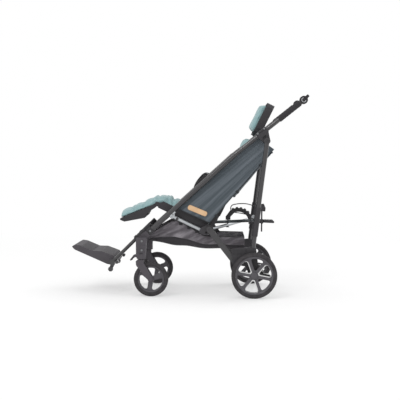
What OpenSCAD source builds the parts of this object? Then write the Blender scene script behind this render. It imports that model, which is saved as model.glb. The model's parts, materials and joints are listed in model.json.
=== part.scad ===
// Folding pediatric wheelchair. X runs to the rear, Y to the far side and Z up, in millimetres.
// The origin lies on the ground in the middle of the whole chair.

/* [Main tubes] */
// Sideways distance from the middle to a main tube's centre
frame_half = 200; // [190:1:215]
// Diameter of the lower main tube
tube_low_d = 28; // [24:1:28]
// Diameter of the upper main tube
tube_up_d = 25; // [22:1:26]
// Lower end of the main tube, from the front-to-back middle
tube_foot_x = -245; // [-255:1:-240]
// Height of the main tube's lower end
tube_foot_z = 292.5; // [288:0.5:300]
// Rise of the lower tube
tube_low_angle = 42.7; // [42:0.1:43.4]
// Rise of the upper tube
tube_up_angle = 39; // [36:0.1:41]
// Length of the lower tube
tube_low_len = 645.4; // [640:0.1:650]
// Length of the upper tube
tube_up_len = 456.4; // [430:0.1:470]

/* [Push handles] */
// Diameter of the grip sleeve
grip_d = 31; // [29:0.5:36]
// Length of the grip sleeve
grip_len = 138; // [100:1:180]
// Diameter of the round end knob
knob_d = 42; // [34:1:46]

/* [Rear frame] */
// Fold bolt, distance to the rear of the middle
fold_x = 400; // [392:1:404]
// Height of the fold bolt
fold_z = 806; // [800:1:812]
// Diameter of the fold bolt
fold_bolt_d = 10; // [8:0.5:12]
// Diameter of the rear leg tube
leg_d = 24; // [20:0.5:24]
// Lean of the rear leg from upright
leg_lean = 6.8; // [6.4:0.1:7.2]
// Outer diameter of the leg sleeve
sleeve_d = 30; // [27:0.5:31]
// Height of the sleeve's lower end
sleeve_low_z = 316; // [300:1:330]
// Length of the leg sleeve
sleeve_len = 150; // [100:1:180]
// Rear axle, distance to the rear of the middle
axle_x = 341; // [336:1:346]
// Diameter of the tube between the rear wheels
axle_tube_d = 22; // [18:1:26]
// Diameter of the wheel axles
axle_d = 12; // [10:0.5:14]

/* [Strut and brace] */
// Hinge of the strut, distance to the rear of the middle
hinge_x = 108; // [105:1:111]
// Height of the strut's hinge
hinge_z = 348; // [346:1:351]
// Diameter of the hinge pin
hinge_pin_d = 12; // [10:0.5:14]
// Lower pivot of the strut, distance to the rear of the middle
strut_foot_x = 243; // [240:1:246]
// Height of the strut's lower pivot
strut_foot_z = 178; // [175:1:181]
// Depth of the flat-oval strut
strut_w = 30; // [26:1:32]
// Thickness of the strut
strut_t = 14; // [10:0.5:14]
// Diameter of a brace arm
brace_d = 16; // [12:1:18]
// Number of ribs on the brace hub
hub_ribs = 7; // [4:1:9]

/* [Rear wheels] */
// Diameter over the tyre
rear_wheel_d = 235; // [230:1:235]
// Width of the rear tyre
rear_tyre_w = 40; // [34:1:40]
// Thickness of the tyre's tread and wall
rear_tyre_t = 20.5; // [16:0.5:24]
// Number of spokes
rear_spokes = 6; // [5:1:7]
// Width of a spoke
rear_spoke_w = 20; // [14:0.5:24]
// Thickness of the spoked web
rear_web_t = 14; // [10:1:18]

/* [Castors] */
// Swivel axis, distance from the middle towards the front
castor_x = -240; // [-246:1:-238]
// Sideways distance of the swivel axis
castor_half = 243; // [242:0.5:245]
// Trail of the castor wheel
castor_trail = 50; // [44:1:54]
// Diameter over the castor tyre
castor_wheel_d = 178; // [166:1:178]
// Width of the castor tyre
castor_tyre_w = 34; // [28:1:34]
// Thickness of the castor tyre
castor_tyre_t = 22; // [18:0.5:24]
// Number of castor spokes
castor_spokes = 3; // [3:1:5]
// Thickness of a fork blade
fork_t = 6; // [4:0.5:6]
// Diameter of the fork's stem
stem_d = 16; // [12:0.5:18]

/* [Seat] */
// Half width of the seat pan
pan_half = 158; // [152:1:160]
// Height of the pan's side walls over its floor
pan_wall_h = 32; // [22:1:34]
// Thickness of the pan's floor
pan_floor = 10; // [6:0.5:12]
// Seat slope, dropping to the rear
seat_slope = 24.8; // [23.8:0.1:25.8]
// Crown of the seat cushion over its side wall
seat_crown = 30; // [15:1:34]
// Diameter of the seat rail
rail_d = 18; // [14:0.5:18]
// Knee hinge, distance from the middle towards the front
knee_x = -168; // [-171:1:-165]
// Height of the knee hinge
knee_z = 474; // [472:1:476]
// Length of the leg rest
calf_len = 212; // [190:1:220]
// Thickness of the leg rest's cushion
calf_pad_t = 28; // [16:1:32]

/* [Back] */
// Recline hinge, distance to the rear of the middle
back_x = 140; // [138:1:142]
// Height of the recline hinge
back_z = 400; // [398:1:402]
// Lean of the back from level
back_angle = 64.1; // [62:0.1:66]
// Length of the back board
board_len = 470; // [440:1:475]
// Thickness of the back board
board_t = 15; // [10:1:18]
// Thickness of the back cushion
back_pad_t = 50; // [30:1:52]
// Length of the headrest
head_len = 165; // [150:1:172]
// Depth of the headrest shell
head_depth = 42; // [34:1:46]
// Half width of the headrest
head_half = 132; // [120:1:138]
// Thickness of the headrest pad
head_pad_t = 26; // [18:1:32]

/* [Foot support] */
// Sideways distance of the footrest tubes
foot_half = 170; // [168:1:172]
// Diameter of the sliding footrest tube
foot_tube_d = 19; // [16:0.5:20]
// Outer diameter of its holder
foot_holder_d = 27; // [25:0.5:28]
// Length of the holder
foot_holder_len = 112; // [95:1:120]
// Length of the sliding tube
foot_tube_len = 250; // [235:1:262]
// Length of the footplate
plate_len = 216; // [190:1:226]
// Half width of the footplate
plate_half = 148; // [130:1:150]
// Rise of the footplate towards its front
plate_angle = 22.5; // [18:0.5:26]
// Thickness of the footplate's rim
plate_t = 25; // [20:1:28]
// Number of grip ribs on the footplate
plate_ribs = 9; // [5:1:11]

/* [Fabric] */
// Thickness of the side panels
panel_t = 4; // [3:0.5:5]
// Depth of the folds in the side panels
panel_fold = 3; // [0:0.5:4]
// Half width of the basket
basket_half = 150; // [130:1:155]
// Wall of the basket
basket_t = 3; // [2.5:0.5:4]

/* [Clearances] */
// Running gap round a pin, on the radius
run_gap = 0.06; // [0.04:0.01:0.1]
// Gap between fixed pieces that fit round each other
fit_gap = 0.2; // [0.15:0.05:0.3]
// Gap beside a soft piece
soft_gap = 0.4; // [0.3:0.1:0.6]

/* [Hidden] */

frame_grey = "#3a3638";
plastic_black = "#2b2a2c";
wheel_grey = "#48464a";
rubber_black = "#262527";
slate = "#4a565e";
mesh_grey = "#4a4a4d";
mint = "#9dbbbd";
bright = "#b9bcbf";
tan_tag = "#e0b88a";
fine = 48;

// Directions and places in the X-Z plane, written as [x, z]
function dir(a) = [cos(a), sin(a)];
function nrm(a) = [-sin(a), cos(a)];
function from(p, a, u, n = 0) = p + u * dir(a) + n * nrm(a);
function unit(v) = v / norm(v);
function mix(a, b, t) = a + (b - a) * t;
function angle_to(p, q) = atan2(q[1] - p[1], q[0] - p[0]);

// Outline pts with corner i rounded to radius r, or r[i], by n chords
function corner(a, b, c, r, n) =
    let (u = unit(a - b), v = unit(c - b), half = acos(u * v) / 2,
        p = b + u * r / tan(half), q = b + v * r / tan(half),
        mid = b + unit(u + v) * r / sin(half),
        start = angle_to(mid, p), sweep = (angle_to(mid, q) - start + 540) % 360 - 180)
    [for (i = [0 : n]) mid + r * dir(start + sweep * i / n)];
function rounded(pts, r, n = 4) = let (m = len(pts)) [for (i = [0 : m - 1])
    each corner(pts[(i + m - 1) % m], pts[i], pts[(i + 1) % m], is_list(r) ? r[i] : r, n)];
// Rectangle with its corners rounded
function box_pts(x0, x1, y0, y1, r) = rounded([[x0, y0], [x1, y0], [x1, y1], [x0, y1]], r, 3);

// Main tube: foot, joint where the upper tube enters the lower one, end of the handle
low_foot = [tube_foot_x, tube_foot_z];
kink = from(low_foot, tube_low_angle, tube_low_len);
tube_end = from(kink, tube_up_angle, tube_up_len);
low_r = tube_low_d / 2;
up_r = tube_up_d / 2;
function on_low(x) = from(low_foot, tube_low_angle, (x - low_foot[0]) / cos(tube_low_angle));
function on_up(x) = from(kink, tube_up_angle, (x - kink[0]) / cos(tube_up_angle));

// Sideways planes: strut beside the main tube, then the rear leg, then the wheel
side_gap = 2;
strut_in = frame_half + low_r + side_gap;
strut_out = strut_in + strut_t;
leg_half = strut_out + side_gap - 0.5 + leg_d / 2;
leg_in = leg_half - leg_d / 2;
leg_out = leg_half + leg_d / 2;
wheel_gap = 2.5;
wheel_half = leg_out + wheel_gap + rear_tyre_w / 2;

fold = [fold_x, fold_z];
fold_bolt_r = fold_bolt_d / 2;
collar_t = 5;
fold_on_tube = from(kink, tube_up_angle, (fold - kink) * dir(tube_up_angle));
leg_down = [-sin(leg_lean), -cos(leg_lean)];
function on_leg(z) = fold + leg_down * (fold_z - z) / cos(leg_lean);
casting_top_z = 258;
leg_foot = on_leg(casting_top_z);
wheel_r = rear_wheel_d / 2;
axle = [axle_x, wheel_r];
hinge = [hinge_x, hinge_z];
hinge_pin_r = hinge_pin_d / 2;
strut_foot = [strut_foot_x, strut_foot_z];

castor_r = castor_wheel_d / 2;
castor_hub = [castor_x + castor_trail, castor_r];
crown_z0 = castor_r + 85;
crown_z1 = crown_z0 + 16;
washer_t = 3;
housing_z0 = crown_z1 + washer_t + 0.6;
housing_z1 = tube_foot_z + 8;

// Seat plane: a point u down the slope from the knee hinge and n above it
knee = [knee_x, knee_z];
seat_a = -seat_slope;
pan_start = 13;
pan_end = 284;
pan_low = -16.5;
function on_seat(u, n) = from(knee, seat_a, u, n);
rail_r = rail_d / 2;
rail_half = frame_half - low_r - 3 - rail_r;
rail_gap = 0.5;
rod_r = 7;
rod_n = pan_low - rail_gap - rod_r;
front_rod_u = 130;
rear_rod_u = 273;
rail_front_u = 99;
rail_rear_u = 268;
saddle = on_low(on_seat(rail_front_u, rod_n)[0] - 4);

back_hinge = [back_x, back_z];
back_pin_r = 5;
board_rear = -15.5;
function on_back(u, n) = from(back_hinge, back_angle, u, n);

foot_a = 45;
foot_cap = [-197, 368.5];
foot_end = from(foot_cap, foot_a, -(foot_tube_len + 36));
plate_hinge = from(foot_end, foot_a, -3, -7);
plate_a = 180 - plate_angle;
plate_pin_r = 4;

// Draw for the far side, or mirrored for the near side
module on_side(s) {
    if (s < 0) mirror([0, 1, 0]) children();
    else children();
}
module both() {
    on_side(1) children();
    on_side(-1) children();
}
// Local Z runs along angle a from point p, local Y stays sideways
module along(p, a, y = 0) translate([p[0], y, p[1]]) rotate([0, 90 - a, 0]) children();
module rod(p, q, r, y) along(p, angle_to(p, q), y) cylinder(r = r, h = norm(q - p), $fn = fine);
// Round piece along Y
module pin(p, r, y0, y1, fn = fine)
    translate([p[0], y0, p[1]]) rotate([-90, 0, 0]) cylinder(r = r, h = y1 - y0, $fn = fn);
// Plate with an X-Z outline, from y0 to y1
module plate(pts, y0, y1)
    translate([0, y1, 0]) rotate([90, 0, 0]) linear_extrude(y1 - y0) polygon(pts);
// Turned piece about Y, with the profile's height measured sideways
module turned(p, y) translate([p[0], y, p[1]]) rotate([-90, 0, 0])
    rotate_extrude($fn = 96) children();
// Flat link with round ends
module link(p, q, rp, rq, y0, y1) {
    d = norm(q - p);
    a = angle_to(p, q);
    lean = asin((rp - rq) / d);
    pin(p, rp, y0, y1);
    pin(q, rq, y0, y1);
    plate([from(p, a + lean, 0, rp), from(q, a + lean, 0, rq), q, from(q, a - lean, 0, -rq),
        from(p, a - lean, 0, -rp), p], y0, y1);
}

module main_tube(s) color(frame_grey) on_side(s) {
    rod(low_foot, from(kink, tube_low_angle, 4), low_r, frame_half);
    rod(from(kink, tube_up_angle, -5), tube_end, up_r, frame_half);
}

module grip_outline(r) {
    wall = grip_d / 2;
    pitch = grip_len / 8;
    polygon(concat([[r, 0], [wall - 2, 0], [wall, 3]],
        [for (i = [1 : 6]) each [[wall, i * pitch + 2], [wall - 1, i * pitch + 4],
            [wall - 1, i * pitch + 6], [wall, i * pitch + 8]]],
        [[wall, grip_len - 3], [wall - 1.5, grip_len], [r, grip_len]]));
}
module push_grips() color(plastic_black) both()
    along(from(tube_end, tube_up_angle, -grip_len - knob_d / 2), tube_up_angle, frame_half)
    rotate_extrude($fn = fine) grip_outline(up_r + fit_gap);

module grip_knobs() color(plastic_black) both() {
    c = from(tube_end, tube_up_angle, 3);
    difference() {
        union() {
            pin(c, knob_d / 2, frame_half - 14, frame_half + 14);
            pin(c, knob_d / 2 - 5, frame_half - 17, frame_half + 17);
        }
        rod(from(c, tube_up_angle, -knob_d), tube_end, up_r + fit_gap, frame_half);
        for (w = [15, -18])
            turned(c, frame_half) translate([knob_d / 2 - 12, w]) square([4, 3]);
    }
    plate(rounded([from(c, 45, knob_d / 2 - 3, -8), from(c, 45, knob_d / 2 + 14, -7),
        from(c, 45, knob_d / 2 + 14, 7), from(c, 45, knob_d / 2 - 3, 8)], 2),
        frame_half - 9, frame_half + 9);
}

// Collar on the upper tube with an arm down to the bolt that the rear leg turns on
module fold_brackets() color(plastic_black) both() {
    a = tube_up_angle;
    c = fold_on_tube;
    drop = norm(fold - c);
    w = up_r + collar_t;
    difference() {
        union() {
            along(from(c, a, -24), a, frame_half)
                linear_extrude(62) polygon(box_pts(-w, w, -w, w, 6));
            plate(rounded([from(c, a, -24, 4), from(c, a, 38, 4), from(c, a, 34, -18),
                from(c, a, 16, -drop - 6), from(c, a, 8, -drop - 15), from(c, a, -8, -drop - 15),
                from(c, a, -16, -drop - 6), from(c, a, -24, -18)], 5),
                frame_half + 5, strut_out - 0.5);
            pin(fold, 16, frame_half + 5, strut_out + 0.5);
        }
        rod(from(c, a, -60), from(c, a, 80), up_r + fit_gap, frame_half);
        plate(rounded([from(c, a, -10, -up_r - 7), from(c, a, 20, -up_r - 7),
            from(c, a, 4, -drop + 19), from(c, a, -6, -drop + 19)], 2),
            strut_out - 6, strut_out + 1);
    }
    pin(fold, fold_bolt_r, strut_out, leg_out + 1.5);
    pin(fold, 9, leg_out + 0.7, leg_out + 5.5);
}

// Moulded block that takes the main tube's foot and the castor's stem
module castor_housing(s) color(plastic_black) on_side(s) difference() {
    y_in = frame_half - low_r - 2;
    y_mid = frame_half + low_r + 7;
    y_out = castor_half + 20;
    boss = [castor_x - 37, housing_z0 + 14];
    union() {
        plate(rounded([[castor_x - 29, housing_z1 + 2], [castor_x - 27, housing_z0 + 12],
            [castor_x - 21, housing_z0], [castor_x + 20, housing_z0],
            [castor_x + 22, housing_z0 + 40], [castor_x + 28, housing_z1 + 4]], 5), y_mid - 8, y_out);
        plate(rounded([from(low_foot, tube_low_angle, -16, -19), from(low_foot, tube_low_angle, 42, -19),
            from(low_foot, tube_low_angle, 48, -14), from(low_foot, tube_low_angle, 48, 17),
            from(low_foot, tube_low_angle, -4, 19), from(low_foot, tube_low_angle, -20, 6)], 4),
            y_in, y_mid);
        translate([castor_x, castor_half, housing_z0 + 0.01])
            cylinder(r = 23, h = 26, $fn = fine);
        for (y = [castor_half - 14, castor_half + 11])
            link(boss, boss + [13, 3], 6, 9, y, y + 3);
        pin(boss, 2.5, castor_half - 12, castor_half + 12);
        for (k = [0 : 2])
            plate(box_pts(castor_x - 20, castor_x + 18, housing_z0 + 36 + 18 * k,
                housing_z0 + 40 + 18 * k, 1), y_out - 1, y_out + 2);
    }
    rod(low_foot, from(low_foot, tube_low_angle, 90), low_r + fit_gap, frame_half);
    translate([castor_x, castor_half, housing_z0 - 1])
        cylinder(r = stem_d / 2 + run_gap, h = 92, $fn = fine);
    plate(rounded([[castor_x - 12, housing_z0 + 30], [castor_x + 10, housing_z0 + 30],
        [castor_x, housing_z0 + 6]], 2), y_out - 4, y_out + 1);
}

module front_cross_tube() color(frame_grey) {
    p = from(low_foot, tube_low_angle, 6, -6);
    y = frame_half - low_r - 2;
    pin(p, 10, -y, y);
}

// Bright bar under the seat, with an eye and a saddle on the main tube at its front
module seat_rail(s) color(bright) on_side(s) {
    p = on_seat(rail_front_u, rod_n);
    q = on_seat(rail_rear_u, rod_n);
    difference() {
        union() {
            rod(p, q, rail_r, rail_half);
            pin(p, 12, rail_half - rail_r, rail_half + rail_r);
            plate(rounded([p + [-12, 0], from(saddle, tube_low_angle, -18, -low_r + 4),
                from(saddle, tube_low_angle, 18, -low_r + 4), p + [14, -2], p + [0, -13]], 3),
                rail_half + rail_r - 3, rail_half + rail_r + 3);
            along(from(saddle, tube_low_angle, -18), tube_low_angle, frame_half)
                linear_extrude(36) polygon(box_pts(low_r - 6, low_r + 4, -low_r - 3, low_r - 4, 2));
        }
        rod(from(saddle, tube_low_angle, -30), from(saddle, tube_low_angle, 30), low_r + fit_gap, frame_half);
        for (u = [front_rod_u, rear_rod_u])
            pin(on_seat(u, rod_n), rod_r + fit_gap, rail_half - 20, rail_half + 20);
    }
}
module seat_rod(u) color(frame_grey) pin(on_seat(u, rod_n), rod_r, -rail_half - 4, rail_half + 4);
module front_seat_rod() seat_rod(front_rod_u);
module rear_seat_rod() seat_rod(rear_rod_u);

block_in = rail_half - rail_r - 4;
hinge_plate_t = 11;
// Knuckle that joins the seat rail, the strut, the brace and the recline plate
module hinge_block(s) color(plastic_black) on_side(s) {
    y_in = block_in;
    difference() {
        union() {
            plate(rounded([on_seat(260, -38), on_seat(282, -40), on_seat(304, -30), on_seat(324, -12),
                on_seat(320, 14), on_seat(302, 20), on_seat(286, 16), on_seat(262, -10)], 6),
                y_in, strut_in - 1.5);
            pin(hinge, 20, y_in + 8, strut_in - 1);
            link(hinge, back_hinge, 15, 12, y_in - hinge_plate_t, y_in);
        }
        rod(on_seat(rail_front_u, rod_n), on_seat(rail_rear_u, rod_n), rail_r + fit_gap, rail_half);
        pin(on_seat(rear_rod_u, rod_n), rod_r + fit_gap, y_in - 1, rail_half + 5);
        pin(on_seat(296, -22), 5, rail_half + rail_r + 8, strut_in);
    }
    pin(hinge, hinge_pin_r, brace_in - 0.5, strut_out + 0.3);
    pin(back_hinge, back_pin_r, lug_in - 0.5, y_in - hinge_plate_t);
}
lug_t = 10;
lug_in = block_in - hinge_plate_t - 1.5 - lug_t;

// Tray under the seat cushion, with upright side walls and slots in its floor
module seat_pan() color(plastic_black) {
    pan_tray();
    both() {
        link(on_seat(22, -1), knee, 13, 11, pan_half - pan_wall, pan_half);
        pin(knee, knee_pin_r, knee_lug_in - 0.5, pan_half - 1);
    }
}
module pan_tray() difference() {
    top = pan_floor + pan_wall_h;
    plate([on_seat(pan_start, pan_low), on_seat(pan_end, pan_low), on_seat(pan_end, pan_low + top),
        on_seat(pan_start + 12, pan_low + top), on_seat(pan_start, pan_low + top - 14)],
        -pan_half, pan_half);
    plate([on_seat(-1, pan_low + pan_floor), on_seat(pan_end + 9, pan_low + pan_floor),
        on_seat(pan_end + 9, pan_low + top + 9), on_seat(-1, pan_low + top + 9)],
        -pan_half + pan_wall, pan_half - pan_wall);
    for (y = [-90, -30, 30, 90])
        plate(rounded([on_seat(70, pan_low - 1), on_seat(215, pan_low - 1),
            on_seat(215, pan_low + pan_floor + 1), on_seat(70, pan_low + pan_floor + 1)], 0.4),
            y - 12, y + 12);
}
pan_wall = 6;

// Closed form through rings of [u, y, n] points, set on point p along angle a
module lofted(p, a, rings) {
    m = len(rings[0]);
    k = len(rings) - 1;
    mid = [for (r = [rings[0], rings[k]]) [for (c = [0 : 2]) sum([for (q = r) q[c]]) / m]];
    pts = [for (q = concat([for (r = rings) each r], mid))
        let (w = from(p, a, q[0], q[2])) [w[0], q[1], w[1]]];
    last = len(pts) - 1;
    polyhedron(pts, concat(
        [for (i = [0 : k - 1], j = [0 : m - 1]) let (b = (j + 1) % m) each
            [[i * m + j, (i + 1) * m + b, i * m + b], [i * m + j, (i + 1) * m + j, (i + 1) * m + b]]],
        [for (j = [0 : m - 1]) let (b = (j + 1) % m) each
            [[last - 1, j, b], [last, k * m + b, k * m + j]]]));
}
function sum(v, i = 0) = i < len(v) ? v[i] + sum(v, i + 1) : 0;

// Cushion rings: side height h, crown, sides drawn in by pull, sewn channels across it
function pad_rings(length, half, h, crown, pull, channels, n0 = 0) =
    let (steps = 6 * (channels + 1))
    [for (i = [0 : steps])
        let (t = i / steps, near_end = min(1, min(t, 1 - t) * 12),
            end = 0.62 + 0.38 * sin(90 * near_end),
            puff = 0.55 + 0.45 * pow(abs(sin(180 * t * (channels + 1))), 0.5),
            w = half * (0.94 + 0.06 * sin(90 * near_end)))
        concat([[t * length, w, n0], [t * length, w - pull, n0 + h * end * 0.5], [t * length, w, n0 + h * end]],
            [for (q = [0.9, 0.7, 0.4, 0, -0.4, -0.7, -0.9])
                [t * length, w * q, n0 + h * end + crown * end * puff * (1 - pow(abs(q), 4))]],
            [[t * length, -w, n0 + h * end], [t * length, pull - w, n0 + h * end * 0.5],
                [t * length, -w, n0]])];

module seat_cushion() color(mint)
    lofted(knee, seat_a, [for (r = pad_rings(pan_end - 30, pan_half - pan_wall - soft_gap - 1, pan_wall_h,
        seat_crown, 2.5, 4, pan_low + pan_floor + soft_gap)) [for (q = r) [q[0] + 18, q[1], q[2]]]]);

// Cloth slab round a grid of points, thickness along v
module cloth(g, v) {
    r = len(g);
    c = len(g[0]);
    half = r * c;
    rim = concat([for (i = [0 : r - 1]) i * c], [for (j = [1 : c - 1]) (r - 1) * c + j],
        [for (i = [r - 2 : -1 : 0]) i * c + c - 1], [for (j = [c - 2 : -1 : 1]) j]);
    polyhedron(concat([for (row = g, q = row) q + v / 2], [for (row = g, q = row) q - v / 2]), concat(
        [for (i = [0 : r - 2], j = [0 : c - 2]) let (a = i * c + j) each
            [[a, a + c + 1, a + c], [a, a + 1, a + c + 1],
            [half + a, half + a + c, half + a + c + 1], [half + a, half + a + c + 1, half + a + 1]]],
        [for (k = [0 : len(rim) - 1]) let (a = rim[k], b = rim[(k + 1) % len(rim)]) each
            [[a, b, half + b], [a, half + b, half + a]]]));
}

// Side panel: hangs from the main tube, its folds run up to the fold bracket
panel_y = frame_half - low_r - soft_gap;
panel_top_y = frame_half - up_r - collar_t - soft_gap;
panel_front_x = -66;
panel_top_x = 350;
panel_low = [109, 376];
panel_rear = [440, 764];
function panel_top(t) = let (x = mix(panel_front_x, panel_top_x, t))
    x < kink[0] ? on_low(x) : on_up(x);
function panel_edge(t) = t < 0.36 ? mix(panel_top(0) + [6, -6], panel_low, t / 0.36)
    : mix(panel_low, panel_rear, (t - 0.36) / 0.64);
module side_panel(s) color(slate) on_side(s) {
    rows = 22;
    cols = 10;
    cloth([for (i = [0 : rows]) let (t = i / rows) [for (j = [0 : cols])
        let (q = j / cols, p = mix(panel_top(t), panel_edge(t), q),
            face = mix(panel_y, panel_top_y, max(0, min(1, (t - 0.75) / 0.2))),
            ripple = (1 + sin(q * 900)) * 2 * q * (1 - q) * sin(180 * min(1, t * 1.1)))
        [p[0], face - panel_t / 2 - panel_fold * max(0, ripple), p[1]]]], [0, panel_t, 0]);
}

// Local X runs along angle a from p, local Z along its normal
module laid(p, a) translate([p[0], 0, p[1]]) rotate([0, -a, 0]) children();

// Back of the seat: cloth slung between the main tubes behind the back board
sling_start = 0.36;
module back_sling() color(slate) {
    rows = 14;
    cols = 12;
    lean = angle_to(panel_low, panel_rear);
    length = norm(panel_rear - panel_low);
    cloth([for (i = [0 : rows]) let (t = mix(sling_start, 0.97, i / rows)) [for (j = [0 : cols])
        let (w = 2 * j / cols - 1, bag = 10 * (1 - w * w) * sin(180 * t),
            p = from(panel_low, lean, t * length, -2 - soft_gap - bag))
        [p[0], w * panel_y, p[1]]]],
        [-4 * sin(lean), 0, 4 * cos(lean)]);
}

// Leg rest, measured from the knee hinge with u running back along the calf
calf_a = 23.5;
calf_half = 150;
calf_top = 4;
knee_pin_r = 4;
knee_lug_in = 141;
function on_calf(u, n) = from(knee, calf_a, u, n);
module leg_rest_shell() color(plastic_black) difference() {
    union() {
        plate(rounded([on_calf(-calf_len, calf_top), on_calf(-calf_len, -4),
            on_calf(-calf_len + 16, -20), on_calf(-88, -44), on_calf(-62, -22), on_calf(-24, -17),
            on_calf(-13, -8), on_calf(-12, calf_top)], [2, 4, 6, 8, 6, 4, 3, 2]), -calf_half, calf_half);
        both() link(on_calf(-26, -8), knee, 9, 9, knee_lug_in, calf_half);
    }
    both() pin(knee, knee_pin_r + run_gap, knee_lug_in - 2, calf_half + 2);
    for (y = [-100, -50, 0, 50, 100])
        plate(rounded([on_calf(-180, -30), on_calf(-104, -50), on_calf(-100, -28), on_calf(-178, -9)], 3),
            y - 19, y + 19);
}
module leg_rest_cushion() color(mint)
    lofted(from(knee, calf_a, -calf_len), calf_a,
        pad_rings(calf_len - 16, calf_half - 2, 8, calf_pad_t - 8, 1.5, 2, calf_top + soft_gap));

board_half = pan_half - 6;
back_pad_half = 134;
bar_y = 60;
bar_r = 5;
bar_n = board_rear + board_t / 2;
board_start = 18;
head_start = board_len + 12;
module back_board() color(plastic_black) difference() {
    union() {
        laid(back_hinge, back_angle) translate([0, 0, board_rear]) linear_extrude(board_t)
            polygon(box_pts(board_start, board_len, -board_half, board_half, 22));
        both() link(back_hinge, on_back(board_start + 26, bar_n), 11, board_t / 2 - 0.5,
            lug_in, lug_in + lug_t);
    }
    both() pin(back_hinge, back_pin_r + run_gap, lug_in - 2, lug_in + lug_t + 2);
    laid(back_hinge, back_angle) {
        for (s = [-1, 1])
            translate([board_len - 150, s * bar_y, bar_n]) rotate([0, 90, 0])
                cylinder(r = bar_r + run_gap, h = 160, $fn = fine);
        for (u = [230, 280, 330], y = [-92, 92])
            translate([u, y, board_rear - 1]) linear_extrude(board_t + 2)
                polygon(box_pts(-5, 5, -22, 22, 4.5));
    }
}
module back_cushion() color(mint)
    lofted(back_hinge, back_angle, [for (r = pad_rings(board_len - board_start - 14, back_pad_half, 16,
        back_pad_t - 16, 2.5, 4, board_rear + board_t + soft_gap))
            [for (q = r) [q[0] + board_start + 4, q[1], q[2]]]]);

// Side supports for the trunk, each on a flat arm from the board
module trunk_pads() color(plastic_black) both() {
    front = board_rear + board_t;
    y = board_half - 13;
    plate(rounded([on_back(56, 52), on_back(74, 30), on_back(150, 30), on_back(180, 60),
        on_back(190, 132), on_back(172, 166), on_back(108, 176), on_back(62, 158)], 12), y + 3, y + 24);
    plate(rounded([on_back(66, 60), on_back(80, 40), on_back(148, 40), on_back(170, 66),
        on_back(178, 130), on_back(164, 154), on_back(110, 162), on_back(72, 148)], 10), y, y + 27);
    plate(rounded([on_back(96, front), on_back(96, 50), on_back(128, 50), on_back(128, front)], 3),
        y + 8, y + 12);
}
module headrest_shell() color(plastic_black) {
    laid(back_hinge, back_angle) {
        difference() {
            translate([0, 0, board_rear]) linear_extrude(head_depth)
                polygon(box_pts(head_start, head_start + head_len + 18, -head_half, head_half, 40));
            translate([0, 0, board_rear + head_depth - 8]) linear_extrude(9)
                polygon(box_pts(head_start + 8, head_start + head_len + 10, -head_half + 8, head_half - 8, 16));
        }
        for (s = [-1, 1])
            translate([head_start - 120, s * bar_y, bar_n]) rotate([0, 90, 0])
                cylinder(r = bar_r, h = 140, $fn = fine);
    }
}
module headrest_pad() color(mint)
    lofted(back_hinge, back_angle, [for (r = pad_rings(head_len - 6, head_half - 9, 10 + 8,
        head_pad_t - 10, 2, 1, board_rear + head_depth - 8 + soft_gap))
        [for (q = r) [q[0] + head_start + 12, q[1], q[2]]]]);

module rear_leg(s) color(frame_grey) on_side(s) difference() {
    union() {
        rod(fold + leg_down * 4, leg_foot, leg_d / 2, leg_half);
        pin(fold, leg_d / 2 + 4, leg_in + 0.5, leg_out - 0.5);
    }
    pin(fold, fold_bolt_r + run_gap, leg_in - 1, leg_out + 1);
}
module leg_sleeves() color(plastic_black) both() {
    p = on_leg(sleeve_low_z + sleeve_len);
    q = on_leg(sleeve_low_z);
    along(q, angle_to(q, p), leg_half) rotate_extrude($fn = fine)
        polygon([[leg_d / 2 + fit_gap, 0], [sleeve_d / 2 - 1, 0], [sleeve_d / 2, 2],
            [sleeve_d / 2, norm(p - q) - 2], [sleeve_d / 2 - 1, norm(p - q)],
            [leg_d / 2 + fit_gap, norm(p - q)]]);
}

// Plate casting that joins the rear leg, the axle and the strut's foot
module axle_casting(s) color(plastic_black) on_side(s) {
    across = [cos(leg_lean), -sin(leg_lean)];
    difference() {
        union() {
            plate(rounded([leg_foot + 15 * across, axle + [17, 78], axle + [23, 12], axle + [17, -18],
                axle + [-6, -24], axle + [-24, -8], axle + [-44, 44], strut_foot + [22, -12],
                strut_foot + [4, -18], strut_foot + [-16, -6], strut_foot + [-12, 16],
                strut_foot + [-19, 36], strut_foot + [-19, 72], leg_foot + [-92, -4],
                leg_foot - 15 * across], [1, 8, 8, 10, 8, 10, 10, 8, 6, 8, 6, 4, 6, 3, 1]), leg_in, leg_out);
        }
        plate(rounded([strut_foot + [18, 20], axle + [-18, 88], axle + [-6, 34], axle + [-34, 62]], 5),
            leg_in - 1, leg_out + 1);
        for (k = [0 : 3])
            plate(box_pts(strut_foot[0] - 12 + 20 * k, strut_foot[0] + 2 + 20 * k,
                strut_foot[1] + 42, strut_foot[1] + 70, 3), leg_out - 3, leg_out + 1);
    }
    pin(axle, axle_d / 2, leg_out, wheel_half + rear_tyre_w / 2 - 10);
}
module rear_axle_tube() color(frame_grey)
    pin(axle, axle_tube_d / 2, -leg_in, leg_in);

// Flat-oval strut with eyes, its lower pin reaching to the casting
module strut(s) color(frame_grey) on_side(s) {
    difference() {
        union() {
            link(hinge, strut_foot, strut_w / 2, strut_w / 2, strut_in + 2, strut_out - 2);
            link(from(hinge, angle_to(hinge, strut_foot), 24), from(strut_foot,
                angle_to(hinge, strut_foot), -24), strut_w / 2 - 3, strut_w / 2 - 3, strut_in, strut_out);
            pin(hinge, strut_w / 2 - 2, strut_in, strut_out);
        }
        pin(hinge, hinge_pin_r + run_gap, strut_in - 1, strut_out + 1);
    }
    pin(strut_foot, 6, strut_in, leg_in - 0.5);
}

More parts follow.
